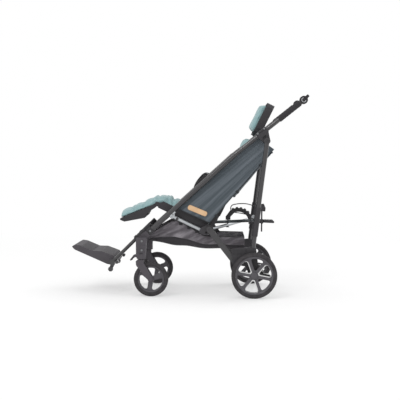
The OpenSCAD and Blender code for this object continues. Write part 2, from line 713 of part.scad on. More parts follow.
// Folding brace: two crossing arms from the hinge blocks to rests beside the leg sleeves
brace_r = brace_d / 2;
brace_eye_t = 12;
brace_in = block_in - hinge_plate_t - 2 - brace_eye_t;
brace_rest_z = 388;
rest = on_leg(brace_rest_z);
rest_y = leg_half - sleeve_d / 2 - 0.5;
eye_y = brace_in + brace_eye_t / 2;
tail_y = rest_y - 12;
brace_mid = mix(hinge + [6, 2], rest - [6, 0], eye_y / (eye_y + tail_y));
module brace_arms() color(bright) {
    for (s = [-1, 1]) {
        lift = s * (brace_r + 0.9);
        eye = [hinge[0] + 6, s * eye_y, hinge[1] + 2 + 0.93 * lift];
        tail = [rest[0] - 6, -s * tail_y, rest[1] + lift];
        difference() {
            union() {
                pin(hinge, 14, s > 0 ? brace_in : -brace_in - brace_eye_t,
                    s > 0 ? brace_in + brace_eye_t : -brace_in);
                bar(eye, tail, brace_r);
                translate([rest[0], -s * (rest_y - 8), rest[1] + lift / 2])
                    rotate([90, 0, 0]) cylinder(r = 14, h = 16, center = true, $fn = fine);
            }
            pin(hinge, hinge_pin_r + run_gap, -brace_in - brace_eye_t - 1, brace_in + brace_eye_t + 1);
            translate([brace_mid[0], 0, 300]) cylinder(r = hub_pin_r + fit_gap, h = 150, $fn = fine);
        }
    }
}
module bar(p, q, r) {
    d = q - p;
    translate(p) rotate([0, acos(d[2] / norm(d)), atan2(d[1], d[0])])
        cylinder(r = r, h = norm(d), $fn = fine);
}

// Ribbed lock arm over the crossing, with its stop bracket and rod behind
hub_half = 13;
hub_pin_r = 4;
arc_mid = [262, 372];
arc_r = 76;
pedal_hinge = [372, 380];
module brace_hub() color(plastic_black) {
    turn = 118;
    step = turn / (2 * hub_ribs);
    collar_z = brace_mid[1] + 2 * brace_r + 3;
    difference() {
        union() {
            plate(concat(
                [for (i = [0 : 2 * hub_ribs - 1]) each let (r = arc_r + (i % 2) * 5)
                    [from(arc_mid, 126 - i * step, r), from(arc_mid, 126 - (i + 1) * step, r)]],
                [[330, 366], [318, 362]],
                [for (i = [0 : 8]) from(arc_mid, 20 + i * 11.5, arc_r - 20)],
                [[brace_mid[0] + 14, collar_z + 16], [brace_mid[0] + 14, collar_z],
                [brace_mid[0] - 12, collar_z], [brace_mid[0] - 12, collar_z + 16]]), -hub_half, hub_half);
            plate(rounded([[318, 364], [326, 392], [364, 392], [364, 364]], 3), -hub_half + 4, hub_half - 4);
            link([356, 380], pedal_hinge, 14, 9, -hub_half + 5, hub_half - 5);
            plate(rounded([[352, 372], [352, 388], [394, 392], [394, 368]], 3), -50, -hub_half + 5);
        }
        plate(rounded([from(arc_mid, 100, arc_r - 14), from(arc_mid, 60, arc_r - 14),
            from(arc_mid, 60, arc_r - 7), from(arc_mid, 100, arc_r - 7)], 2), -hub_half - 1, -hub_half + 4);
        plate(rounded([[360, 362], [360, 396], [401, 396], [401, 362]], 3), -36, -hub_half + 5.5);
    }
    translate([brace_mid[0], 0, brace_mid[1] - 2 * brace_r - 6]) {
        cylinder(r = hub_pin_r, h = 4 * brace_r + 12, $fn = fine);
        cylinder(r = hub_pin_r + 5, h = 3, $fn = fine);
    }
    pin(pedal_hinge, 4, -hub_half - 9, hub_half + 9);
    translate([386, -44, 325]) cylinder(r = 4, h = 112, $fn = fine);
    plate(rounded([[366, 436], [404, 433], [406, 452], [396, 475], [368, 470]], 4), -52, -36);
}

module release_pedal() color(plastic_black) difference() {
    union() {
        for (y = [-hub_half - 8, hub_half + 1])
            link(pedal_hinge, pedal_hinge + [34, -2], 9, 7, y, y + 7);
        plate(rounded([pedal_hinge + [28, -8], pedal_hinge + [80, -10], pedal_hinge + [83, -3],
            pedal_hinge + [76, 4], pedal_hinge + [28, 6]], 2.5), -34, 34);
        for (k = [0 : 4])
            plate(box_pts(pedal_hinge[0] + 38 + 8 * k, pedal_hinge[0] + 41 + 8 * k,
                pedal_hinge[1] + 2, pedal_hinge[1] + 6.5, 1), -30, 30);
    }
    pin(pedal_hinge, 4 + run_gap, -30, 30);
}

// Tube of radius r swept along hand-placed points
function smooth_at(p, t) = let (n = len(p) - 1, i = min(n - 1, floor(t)), f = t - i,
    a = p[max(0, i - 1)], b = p[i], c = p[i + 1], d = p[min(n, i + 2)])
    b + f * ((c - a) / 2 + f * ((2 * a - 5 * b + 4 * c - d) / 2 + f * (3 * b - a - 3 * c + d) / 2));
module swept(p, r, rings, sides = 8) {
    n = len(p) - 1;
    mids = [for (i = [0 : rings]) smooth_at(p, i * n / rings)];
    pts = [for (i = [0 : rings])
        let (t = unit(mids[min(rings, i + 1)] - mids[max(0, i - 1)]),
            u = unit(cross(t, [0.2, 1, 0.1])), v = cross(t, u))
        for (j = [0 : sides - 1]) mids[i] + r * (cos(360 * j / sides) * u + sin(360 * j / sides) * v)];
    last = rings * sides;
    polyhedron(concat(pts, [mids[0], mids[rings]]), concat(
        [for (i = [0 : rings - 1], j = [0 : sides - 1]) let (b = (j + 1) % sides) each
            [[i * sides + j, (i + 1) * sides + b, i * sides + b],
            [i * sides + j, (i + 1) * sides + j, (i + 1) * sides + b]]],
        [for (j = [0 : sides - 1]) let (b = (j + 1) % sides) each
            [[last + sides, j, b], [last + sides + 1, last + b, last + j]]]));
}
cable_points = [[366, -44, 452], [345, -46, 462], [305, -50, 473], [270, -53, 474], [241, -54, 470],
    [225.4, -52, 463.6], [219, -48, 448], [225.4, -44, 432.4], [241, -39, 426], [262, -31, 423],
    [284, -22, 419], [304, -13.4, 414]];
module release_cable() color(rubber_black) swept(cable_points, 2.5, 36);

// Bar behind the axle with collars on the axle tube and a foot pad at each side
module brake_bar() color(frame_grey) {
    bar_c = axle + [52, -6];
    for (s = [-1, 1]) {
        difference() {
            link(axle, bar_c, axle_tube_d / 2 + 6, 9, s * 150 - 6, s * 150 + 6);
            pin(axle, axle_tube_d / 2 + run_gap, s * 150 - 8, s * 150 + 8);
        }
        plate(rounded([bar_c + [-4, 7], bar_c + [34, 0], bar_c + [37, -8], bar_c + [30, -11],
            bar_c + [-4, -8]], 3), s * 175 - 24, s * 175 + 24);
    }
    pin(bar_c, 7, -210, 210);
}

// Windows between spokes of width w, out to radius ro
function window(n, w, ro, k, turn, grow = 0) =
    let (half = 180 / n, e = w / 2 - grow, mid = turn + k * 360 / n, tip = max(e / sin(half), 1),
        side = half - asin(e / ro))
    rounded(concat([tip * dir(mid), ro * dir(mid - side)],
        [for (i = [-2 : 2]) ro * dir(mid + side * i / 3)], [ro * dir(mid + side)]),
        concat([max(4, 7 - grow), 9 + grow], [for (i = [0 : 4]) 0.2], [9 + grow]), 3);

rim_r = wheel_r - rear_tyre_t;
web_in = -3;
rear_turn = 40;
module rear_rim(s) color(wheel_grey) on_side(s) {
    inner = -rear_tyre_w / 2 - wheel_gap + 1;
    face = web_in + rear_web_t;
    w = rear_tyre_w / 2 - 3;
    difference() {
        union() {
            turned(axle, wheel_half) polygon([[rim_r - 9, -w + 3], [rim_r - 4, -w], [rim_r, -w],
                [rim_r, w], [rim_r - 4, w], [rim_r - 9, w - 3]]);
            translate([axle[0], wheel_half, axle[1]]) rotate([-90, 0, 0]) {
                difference() {
                    translate([0, 0, web_in]) cylinder(r = rim_r - 8, h = rear_web_t, $fn = 96);
                    for (k = [0 : rear_spokes - 1])
                        translate([0, 0, web_in - 1]) linear_extrude(rear_web_t + 2)
                            polygon(window(rear_spokes, rear_spoke_w, rim_r - 10, k, rear_turn));
                }
                for (k = [1 : 2 : rear_spokes - 1])
                    translate([0, 0, face - 0.5]) linear_extrude(2) difference() {
                        polygon(window(rear_spokes, rear_spoke_w, rim_r - 8.5, k, rear_turn, 4.5));
                        polygon(window(rear_spokes, rear_spoke_w, rim_r - 10, k, rear_turn));
                    }
            }
            turned(axle, wheel_half) polygon([[0, inner], [20, inner], [20, face + 1], [18, face + 3],
                [17, face + 6], [13, face + 7.5], [0, face + 8]]);
        }
        pin(axle, axle_d / 2 + run_gap, leg_out - 1, wheel_half + rear_tyre_w / 2 - 9.5);
    }
}
module tyre_outline(r0, r1, w)
    polygon(rounded([[r0, -w / 2 + 3], [mix(r0, r1, 0.45), -w / 2], [r1, -w * 0.32], [r1, -2.5],
        [r1 - 2, -1.5], [r1 - 2, 1.5], [r1, 2.5], [r1, w * 0.32], [mix(r0, r1, 0.45), w / 2], [r0, w / 2 - 3]],
        [1, 6, 5, 0.4, 0.4, 0.4, 0.4, 5, 6, 1], 2));
module rear_tyre(s) color(rubber_black) on_side(s)
    turned(axle, wheel_half) tyre_outline(rim_r + fit_gap, wheel_r, rear_tyre_w);

castor_rim_r = castor_r - castor_tyre_t;
module castor_fork(s) color(plastic_black) on_side(s) {
    inner = castor_tyre_w / 2 + 3;
    translate([0, castor_half, 0]) {
        plate(rounded([[castor_x - 28, crown_z0], [castor_x + 12, crown_z0], [castor_x + 14, crown_z1 - 5],
            [castor_x + 8, crown_z1], [castor_x - 18, crown_z1], [castor_x - 28, crown_z1 - 8]], 3),
            -inner - fork_t, inner + fork_t);
        for (y = [-inner - fork_t, inner])
            link([castor_x - 7, crown_z0 - 5], castor_hub, 20, 13, y, y + fork_t);
        pin(castor_hub, 5, -inner - fork_t - 1, inner + fork_t + 1);
        for (y = [-inner - fork_t - 3, inner + fork_t])
            pin(castor_hub, 8, y, y + 3);
        translate([castor_x, 0, crown_z1 - 1])
            cylinder(r = stem_d / 2, h = housing_z0 - crown_z1 + 88, $fn = fine);
        translate([castor_x, 0, crown_z1 - 0.5]) cylinder(r = 15, h = washer_t + 0.5, $fn = fine);
    }
}
module castor_rim(s) color(wheel_grey) on_side(s) {
    w = castor_tyre_w / 2 - 2;
    hub_w = castor_tyre_w / 2 + 2.4;
    difference() {
        union() {
            turned(castor_hub, castor_half) polygon([[castor_rim_r - 7, -w + 3], [castor_rim_r - 3, -w],
                [castor_rim_r, -w], [castor_rim_r, w], [castor_rim_r - 3, w], [castor_rim_r - 7, w - 3]]);
            translate([castor_hub[0], castor_half, castor_hub[1]]) rotate([-90, 0, 0]) difference() {
                translate([0, 0, -7]) cylinder(r = castor_rim_r - 6, h = 14, $fn = 96);
                for (k = [0 : castor_spokes - 1])
                    translate([0, 0, -8]) linear_extrude(16)
                        polygon(window(castor_spokes, 24, castor_rim_r - 7.5, k, 38));
            }
            turned(castor_hub, castor_half) polygon([[0, -hub_w], [13, -hub_w], [17, -9], [17, 9],
                [13, hub_w], [0, hub_w]]);
        }
        pin(castor_hub, 5 + run_gap, castor_half - hub_w - 1, castor_half + hub_w + 1);
    }
}
module castor_tyre(s) color(rubber_black) on_side(s)
    turned(castor_hub, castor_half) tyre_outline(castor_rim_r + fit_gap, castor_r, castor_tyre_w);

module swivel_lock(s) color(plastic_black) on_side(s) difference() {
    boss = [castor_x - 37, housing_z0 + 14];
    union() {
        link(boss, boss + [-16, -17], 6.5, 4, castor_half - 10, castor_half + 10);
        plate(rounded([boss + [-12, -12], boss + [-22, -18], boss + [-20, -23], boss + [-8, -19]], 1.5),
            castor_half - 15, castor_half + 15);
    }
    pin(boss, 2.5 + run_gap, castor_half - 20, castor_half + 20);
}

// Footrest: holder clamped to the main tube, the sliding tube in it and the footplate
foot_r = foot_tube_d / 2;
foot_stop = 4;
foot_up = 32;
clamp_u = 63;
module footrest_holders() color(plastic_black) both() {
    clamp = from(low_foot, tube_low_angle, clamp_u);
    low_end = from(foot_cap, foot_a, -foot_holder_len);
    difference() {
        union() {
            rod(low_end, foot_cap, foot_holder_d / 2, foot_half);
            rod(from(low_end, foot_a, -0.5), from(low_end, foot_a, 14), foot_holder_d / 2 + 2.5,
                foot_half - 2);
            along(from(clamp, tube_low_angle, -13), tube_low_angle, frame_half) linear_extrude(26)
                polygon(box_pts(-low_r - 4, low_r + 4, -low_r - 1.5, low_r + 4, 5));
            along(from(clamp, tube_low_angle, -13), tube_low_angle, foot_half) linear_extrude(26)
                polygon(box_pts(-30, -4, -foot_holder_d / 2 + 1, frame_half - foot_half - low_r + 3, 3));
            pin(from(low_end, foot_a, 5, 3), 5, foot_half, foot_half + foot_holder_d / 2 + 7);
            pin(from(low_end, foot_a, 5, 3), 9, foot_half + foot_holder_d / 2 + 6,
                foot_half + foot_holder_d / 2 + 16);
        }
        rod(from(clamp, tube_low_angle, -40), from(clamp, tube_low_angle, 40), low_r + fit_gap, frame_half);
        rod(from(low_end, foot_a, -5), from(foot_cap, foot_a, -foot_stop), foot_r + run_gap, foot_half);
    }
}
module footrest_tubes() color(frame_grey) both() {
    low = from(plate_hinge, 270, 28, -10);
    rod(foot_end, from(foot_cap, foot_a, -foot_stop - foot_up), foot_r, foot_half);
    link(foot_end, plate_hinge, 15, 12, foot_half - 13, foot_half + 13);
    link(plate_hinge, low, 11, 8, foot_half - 9, foot_half + 9);
    pin(low, 13, foot_half + 9, foot_half + 20);
    pin(from(foot_end, foot_a, 18, -17), 9, foot_half - 12, foot_half + 12);
    plate([from(foot_end, foot_a, 12, -20), from(foot_end, foot_a, 24, -20),
        from(foot_end, foot_a, 24, 0), from(foot_end, foot_a, 12, 0)], foot_half - 6, foot_half + 6);
}
module footrest_crossbar() color(bright)
    pin(plate_hinge, plate_pin_r, -foot_half + 13.2, foot_half - 13.2);

function on_plate(u, t) = from(plate_hinge, plate_a, u, -t);
heel_end = 82;
module footplate() color(plastic_black) difference() {
    deck = plate_t - 10;
    union() {
        plate(rounded([on_plate(-11, -10), on_plate(28, deck - plate_t - 9),
            on_plate(plate_len, deck - plate_t - 6),
            on_plate(plate_len + 21, -7), on_plate(plate_len + 8, deck - 7), on_plate(plate_len - 18, deck),
            on_plate(heel_end + 42, deck), on_plate(heel_end, deck + 17), on_plate(14, deck + 20),
            on_plate(-9, deck + 5)], [9, 8, 8, 5, 6, 14, 30, 12, 10, 8]), -plate_half, plate_half);
        for (k = [0 : plate_ribs - 1])
            let (u = heel_end + 48 + k * (plate_len - heel_end - 76) / max(1, plate_ribs - 1))
            plate([on_plate(u - 2, deck - 1), on_plate(u - 1.5, deck + 1.6), on_plate(u + 1.5, deck + 1.6),
                on_plate(u + 2, deck - 1)], -plate_half + 16, plate_half - 16);
    }
    pin(plate_hinge, plate_pin_r + run_gap, -plate_half - 1, plate_half + 1);
    plate(rounded([on_plate(40, deck - plate_t - 14), on_plate(plate_len - 20, deck - plate_t - 14),
        on_plate(plate_len - 26, deck - plate_t + 2), on_plate(46, deck - plate_t + 2)], 3),
        -plate_half + 14, -5);
    plate(rounded([on_plate(40, deck - plate_t - 14), on_plate(plate_len - 20, deck - plate_t - 14),
        on_plate(plate_len - 26, deck - plate_t + 2), on_plate(46, deck - plate_t + 2)], 3),
        5, plate_half - 14);
    both() plate(rounded([on_plate(96, deck - plate_t - 12), on_plate(200, deck - plate_t - 12),
        on_plate(200, deck + 30), on_plate(96, deck + 30)], 20), plate_half - 0.01, plate_half + 5);
}

// Basket: open cloth tub that hangs under the seat, sagging between its ends
basket_front = -208;
basket_rear = 292;
basket_top_half = rail_half - rail_r - 1.8 - soft_gap;
function basket_rim(x) = x < -75 ? mix(316, basket_rim(-75), (x - basket_front) / (-75 - basket_front))
    : x < 84 ? let (drop = rod_n - mix(10, 20, max(0, min(1, (x - 10) / 30))))
        on_seat(0, drop)[1] - (x - on_seat(0, drop)[0]) * tan(seat_slope)
    : mix(basket_rim(83.9), 306, (x - 84) / (basket_rear - 84));
function basket_floor(x) = let (t = (x - basket_front) / (basket_rear - basket_front))
    276 - 38 * t - 14 * sin(180 * t) + 2.5 * sin(1080 * t);
function basket_ring(x, inset, lift) =
    let (top = basket_rim(x), low = basket_floor(x) + lift, wide = basket_top_half - inset,
        narrow = basket_half - inset, h = top - low)
    [for (q = [[wide, 1], [mix(wide, narrow, 0.55), 0.55], [narrow, 0.22], [narrow - 8, 0.06],
        [narrow - 30, 0], [0, -0.02]]) [q[0], low + h * q[1]]];
module basket() color(mesh_grey) {
    steps = 20;
    rings = [for (io = [0, 1], i = [0 : steps])
        let (x = mix(basket_front + io * basket_t, basket_rear - io * basket_t, i / steps),
            half_ring = basket_ring(x, io * basket_t, io * basket_t))
        concat([for (q = half_ring) [x, q[0], q[1]]],
            [for (k = [4 : -1 : 0]) [x, -half_ring[k][0], half_ring[k][1]]])];
    m = 11;
    inner = (steps + 1) * m;
    polyhedron([for (r = rings) each r], concat(
        [for (i = [0 : steps - 1], j = [0 : m - 2]) let (a = i * m + j, b = a + m) each
            [[a, b, b + 1], [a, b + 1, a + 1], [inner + a, inner + b + 1, inner + b],
            [inner + a, inner + a + 1, inner + b + 1]]],
        [for (i = [0 : steps - 1], e = [0, m - 1]) let (a = i * m + e, b = a + m) each
            e == 0 ? [[a, inner + a, inner + b], [a, inner + b, b]]
                : [[a, inner + b, inner + a], [a, b, inner + b]]],
        [for (j = [1 : m - 2]) [0, j, j + 1]],
        [for (j = [1 : m - 2]) let (e = steps * m) [e, e + j + 1, e + j]],
        [for (j = [1 : m - 2]) [inner, inner + j + 1, inner + j]],
        [for (j = [1 : m - 2]) let (e = inner + steps * m) [e, e + j, e + j + 1]],
        [[0, m - 1, inner + m - 1], [0, inner + m - 1, inner]],
        let (e = steps * m) [[e, inner + e + m - 1, e + m - 1], [e, inner + e, inner + e + m - 1]]));
}
module basket_straps() color(plastic_black) both()
    for (u = [104, 150, 197, 243]) {
        p = on_seat(u, rod_n);
        plate(rounded([p + [-9, 4], p + [-9, -27], p + [9, -27], p + [9, 4]], 2),
            rail_half - rail_r - 1.8, rail_half - rail_r - 0.3);
    }

tag_mid = [45, 442];
tag_a = -22;
module side_tags() color(tan_tag) both()
    plate(rounded([from(tag_mid, tag_a, -53, -13), from(tag_mid, tag_a, 53, -13),
        from(tag_mid, tag_a, 53, 13), from(tag_mid, tag_a, -53, 13)], 11, 5),
        panel_y + soft_gap, panel_y + soft_gap + 2);

module bolt_heads() color(bright) both() {
    for (u = [-14, 28])
        pin(from(fold_on_tube, tube_up_angle, u, 11), 6, frame_half + up_r + collar_t,
            frame_half + up_r + collar_t + 4, 6);
    for (z = [housing_z0 + 46, housing_z1 - 14])
        pin([castor_x + 2, z], 6, castor_half + 20, castor_half + 24, 6);
    pin(from(low_foot, tube_low_angle, clamp_u), 6, frame_half + low_r + 4, frame_half + low_r + 8, 6);
    pin(from(saddle, tube_low_angle, 0, -14), 3.5, frame_half + low_r - 4, frame_half + low_r - 1, 6);
}

main_tube(-1);  // main_tube_left
main_tube(1);  // main_tube_right
push_grips();
grip_knobs();
fold_brackets();
castor_housing(-1);  // castor_housing_left
castor_housing(1);  // castor_housing_right
front_cross_tube();
seat_rail(-1);  // seat_rail_left
seat_rail(1);  // seat_rail_right
front_seat_rod();
rear_seat_rod();
hinge_block(-1);  // hinge_block_left
hinge_block(1);  // hinge_block_right
seat_pan();
seat_cushion();
side_panel(-1);  // side_panel_left
side_panel(1);  // side_panel_right
back_sling();
basket();
basket_straps();
side_tags();
footrest_holders();
leg_rest_shell();
leg_rest_cushion();
footrest_tubes();
footrest_crossbar();
footplate();
back_board();
back_cushion();
trunk_pads();
headrest_shell();
headrest_pad();
rear_leg(-1);  // rear_leg_left
rear_leg(1);  // rear_leg_right
leg_sleeves();
axle_casting(-1);  // axle_casting_left
axle_casting(1);  // axle_casting_right
rear_axle_tube();
strut(-1);  // strut_left
strut(1);  // strut_right
brace_arms();
brace_hub();
release_pedal();
brake_bar();
release_cable();
rear_rim(-1);  // rear_rim_left
rear_rim(1);  // rear_rim_right
rear_tyre(-1);  // rear_tyre_left
rear_tyre(1);  // rear_tyre_right
castor_fork(-1);  // castor_fork_left
castor_fork(1);  // castor_fork_right
castor_rim(-1);  // castor_rim_left
castor_rim(1);  // castor_rim_right
castor_tyre(-1);  // castor_tyre_left
castor_tyre(1);  // castor_tyre_right
swivel_lock(-1);  // swivel_lock_left
swivel_lock(1);  // swivel_lock_right
bolt_heads();
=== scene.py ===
import json
import math

import bmesh
import bpy
from mathutils import Matrix, Vector

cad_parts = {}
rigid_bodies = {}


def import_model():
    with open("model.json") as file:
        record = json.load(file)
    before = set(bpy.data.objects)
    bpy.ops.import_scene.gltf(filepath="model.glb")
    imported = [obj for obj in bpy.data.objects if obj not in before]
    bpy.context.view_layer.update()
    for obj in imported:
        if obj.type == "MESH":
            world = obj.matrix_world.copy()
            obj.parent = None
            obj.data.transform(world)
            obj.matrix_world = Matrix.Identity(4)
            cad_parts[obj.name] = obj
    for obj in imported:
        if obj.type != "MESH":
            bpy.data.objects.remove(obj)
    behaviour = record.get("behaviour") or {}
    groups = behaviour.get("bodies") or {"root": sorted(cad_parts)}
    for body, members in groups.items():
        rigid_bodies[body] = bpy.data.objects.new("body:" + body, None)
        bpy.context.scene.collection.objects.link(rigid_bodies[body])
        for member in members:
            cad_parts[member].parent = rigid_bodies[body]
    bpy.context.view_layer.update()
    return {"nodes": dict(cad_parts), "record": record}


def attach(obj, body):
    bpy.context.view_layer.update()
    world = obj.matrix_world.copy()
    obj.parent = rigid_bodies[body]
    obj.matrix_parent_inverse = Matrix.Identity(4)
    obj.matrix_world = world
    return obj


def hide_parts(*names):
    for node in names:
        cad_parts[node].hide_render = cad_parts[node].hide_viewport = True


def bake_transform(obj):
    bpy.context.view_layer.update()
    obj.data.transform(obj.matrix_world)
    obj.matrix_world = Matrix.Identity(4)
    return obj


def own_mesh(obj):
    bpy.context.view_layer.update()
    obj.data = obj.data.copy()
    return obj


for spare in list(bpy.data.objects):  # whatever the start file holds
    bpy.data.objects.remove(spare)
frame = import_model()
nodes = frame["nodes"]
print("frame loaded:", len(nodes), "nodes")

mm = 0.001
bothSides = ((-1, "Left"), (1, "Right"))


# places taken from the part's own values
def heading(angle):
    return Vector((math.cos(math.radians(angle)), 0, math.sin(math.radians(angle))))


def across(angle):
    return Vector((-math.sin(math.radians(angle)), 0, math.cos(math.radians(angle))))


places = {
    "knee": Vector((-168, 0, 474)) * mm, "seatAngle": -24.8, "calfAngle": 23.5,
    "backHinge": Vector((140, 0, 400)) * mm, "backAngle": 64.1,
    "tubeFoot": Vector((-245, 0, 292.5)) * mm, "lowAngle": 42.7,
    "kink": Vector((229.3, 0, 730.2)) * mm, "upAngle": 39.0,
    "knob": Vector((586.3, 0, 1019.3)) * mm,
    "panelLow": Vector((109, 0, 376)) * mm, "panelRear": Vector((440, 0, 764)) * mm,
    "axle": Vector((341, 0, 117.5)) * mm,
}
panelEdge = places["panelRear"] - places["panelLow"]  # the side cloths' free rear edge
panelLean = math.degrees(math.atan2(panelEdge.z, panelEdge.x))


def fromPoint(point, angle, u, n=0.0, y=0.0):
    return point + heading(angle) * (u * mm) + across(angle) * (n * mm) + Vector((0, y * mm, 0))


def onSeat(u, n=0.0, y=0.0):
    return fromPoint(places["knee"], places["seatAngle"], u, n, y)


def onCalf(u, n=0.0, y=0.0):
    return fromPoint(places["knee"], places["calfAngle"], u, n, y)


def onBack(u, n=0.0, y=0.0):
    return fromPoint(places["backHinge"], places["backAngle"], u, n, y)


def onTube(x):  # centre line of the main tube at that X, in millimetres
    start, angle = ("tubeFoot", "lowAngle") if x * mm < places["kink"].x else ("kink", "upAngle")
    rise = (x * mm - places[start].x) * math.tan(math.radians(places[angle]))
    return Vector((x * mm, 0, places[start].z + rise))


class Wire:  # one output socket that takes part in Python sums
    def __init__(self, paint, socket):
        self.paint, self.socket = paint, socket

    def sum(self, operation, *others, clamp=False):
        return self.paint.add("ShaderNodeMath", {"operation": operation, "use_clamp": clamp},
                              {0: self, **{i + 1: o for i, o in enumerate(others)}})

    def __add__(self, other):
        return self.sum("ADD", other)

    def __mul__(self, other):
        return self.sum("MULTIPLY", other)

    def __sub__(self, other):
        return self.sum("SUBTRACT", other)

    def __truediv__(self, other):
        return self.sum("DIVIDE", other)

    def __rsub__(self, other):
        return self.paint.add("ShaderNodeMath", {"operation": "SUBTRACT"}, {0: other, 1: self})

    def __gt__(self, other):
        return self.sum("GREATER_THAN", other)

    def __lt__(self, other):
        return self.sum("LESS_THAN", other)

    __radd__ = __add__
    __rmul__ = __mul__

    def wave(self, turns):  # smooth 0 to 1 ripple
        return ((self * (2 * math.pi * turns)).sum("SINE") + 1) * 0.5

    def size(self):
        return self.sum("ABSOLUTE")

    def between(self, low, high):
        return (self > low) * (self < high)

    def held(self):
        return self.sum("ADD", 0, clamp=True)


class Paint:  # one material and its nodes
    def __init__(self, name, **settings):
        self.material = bpy.data.materials.new(name)
        self.material.use_nodes = True
        self.tree = self.material.node_tree
        self.shader = self.tree.nodes["Principled BSDF"]
        for socket, value in settings.items():
            self.shader.inputs[socket.replace("_", " ")].default_value = value
        self.place = self.add("ShaderNodeTexCoord", output="Object")

    def add(self, kind, settings=None, sockets=None, output=0):
        node = self.tree.nodes.new(kind)
        for key, value in (settings or {}).items():
            setattr(node, key, value)
        for key, value in (sockets or {}).items():
            if isinstance(value, Wire):
                self.tree.links.new(value.socket, node.inputs[key])
            else:
                node.inputs[key].default_value = value
        return Wire(self, node.outputs[output])

    def axes(self):
        node = self.tree.nodes.new("ShaderNodeSeparateXYZ")
        self.tree.links.new(self.place.socket, node.inputs[0])
        return [Wire(self, node.outputs[i]) for i in range(3)]

    def mapped(self, turn=0, scale=(1, 1, 1), source=None):  # scaled, then turned about Y
        return self.add("ShaderNodeMapping", {}, {0: source or self.place, "Scale": scale,
                        "Rotation": (0, math.radians(turn), 0)})

    def noise(self, scale, detail=3.0, roughness=0.5, source=None):
        return self.add("ShaderNodeTexNoise", {}, {"Vector": source or self.place, "Scale": scale,
                        "Detail": detail, "Roughness": roughness})

    def cells(self, scale, blur=1.0):
        return self.add("ShaderNodeTexVoronoi", {},
                        {"Vector": self.place, "Scale": scale, "Randomness": blur})

    def blend(self, mask, first, second):
        node = self.tree.nodes.new("ShaderNodeMix")
        node.data_type = "RGBA"
        for key, value in ((0, mask), (6, first), (7, second)):
            if isinstance(value, Wire):
                self.tree.links.new(value.socket, node.inputs[key])
            else:
                node.inputs[key].default_value = value
        return Wire(self, node.outputs[2])

    def bump(self, height, distance, strength=1.0, under=None):
        sockets = {"Height": height, "Distance": distance, "Strength": strength}
        if under:
            sockets["Normal"] = under
        return self.add("ShaderNodeBump", {}, sockets)

    def feed(self, **wires):
        for socket, wire in wires.items():
            self.tree.links.new(wire.socket, self.shader.inputs[socket.replace("_", " ")])
        return self.material


def shade(code):  # linear colour from a hex code
    parts = [int(code[i:i + 2], 16) / 255 for i in (1, 3, 5)]
    parts = [p / 12.92 if p <= 0.04045 else ((p + 0.055) / 1.055) ** 2.4 for p in parts]
    return (*parts, 1.0)


def coatedTube():
    paint = Paint("frameCoat", Specular_IOR_Level=0.4, Coat_Roughness=0.12, Coat_Weight=0.8)
    peel = paint.noise(700, 2.0)
    cloud = paint.noise(9, 4.0)
    scuffs = (paint.noise(60, 6.0, 0.7) > 0.70) * 0.35
    base = paint.blend(cloud * 0.6, shade("#1f1d20"), shade("#312f32"))
    return paint.feed(Base_Color=paint.blend(scuffs, base, shade("#6e6a6b")),
                      Roughness=0.34 + cloud * 0.1 + scuffs * 0.2,
                      Normal=paint.bump(peel, 0.00025, 0.35))


def satinBar():
    paint = Paint("satinBar", Metallic=1.0)
    hair = paint.noise(900, 2.0, 0.6, paint.mapped(scale=(0.04, 1, 0.04)))
    cloud = paint.noise(14, 3.0)
    return paint.feed(Base_Color=paint.blend(cloud, shade("#a3a6a9"), shade("#c9cccf")),
                      Roughness=0.24 + hair * 0.2,
                      Normal=paint.bump(hair, 0.0001, 0.25))


def zincBolt():
    paint = Paint("zincBolt", Metallic=1.0)
    speck = paint.noise(500, 4.0)
    return paint.feed(Base_Color=paint.blend(speck, shade("#6d6e70"), shade("#8f9092")),
                      Roughness=0.3 + speck * 0.2, Normal=paint.bump(speck, 0.0001, 0.3))


def grainedPlastic(name, dark, light, grain=900, depth=0.00035, rough=0.48):
    paint = Paint(name, Specular_IOR_Level=0.42)
    pebbles = paint.cells(grain)
    cloud = paint.noise(12, 4.0)
    rubbed = (paint.noise(45, 6.0, 0.72) > 0.69) * 0.3
    base = paint.blend(cloud, shade(dark), shade(light))
    return paint.feed(Base_Color=paint.blend(rubbed, base, shade("#5b595c")),
                      Roughness=rough + cloud * 0.12,
                      Normal=paint.bump(pebbles, depth, 0.5))


def gripRubber():
    paint = Paint("gripRubber", Specular_IOR_Level=0.3)
    pores = paint.cells(1300)
    cloud = paint.noise(20, 3.0)
    return paint.feed(Base_Color=paint.blend(cloud, shade("#262527"), shade("#373538")),
                      Roughness=0.66 + cloud * 0.14, Normal=paint.bump(pores, 0.0003, 0.5))


wheelTrim = {"face": (0.2893, 0.2910), "radius": (0.0215, 0.0885)}


def wheelPlastic():
    paint = Paint("wheelPlastic", Specular_IOR_Level=0.45)
    x, y, z = paint.axes()
    ahead, rise = x - places["axle"].x, z - places["axle"].z
    r = (ahead * ahead + rise * rise).sum("SQRT")
    trim = y.size().between(*wheelTrim["face"]) * r.between(*wheelTrim["radius"])
    grain = paint.cells(1100)
    dust = paint.noise(30, 5.0, 0.65)
    base = paint.blend(dust, shade("#3f3d41"), shade("#57555a"))
    return paint.feed(Base_Color=paint.blend(trim, base, shade("#cfcfcf")),
                      Roughness=0.46 + dust * 0.12 - trim * 0.2, Metallic=trim * 0.35,
                      Normal=paint.bump(grain, 0.0003, 0.4))


def tyreRubber():
    paint = Paint("tyreRubber", Specular_IOR_Level=0.3)
    dust = paint.noise(40, 5.0, 0.7)
    pores = paint.noise(900, 3.0)
    dusty = (dust - 0.4).held() * 1.6
    return paint.feed(Base_Color=paint.blend(dusty, shade("#312f31"), shade("#545154")),
                      Roughness=0.72 + dust * 0.18, Normal=paint.bump(pores, 0.0003, 0.5))


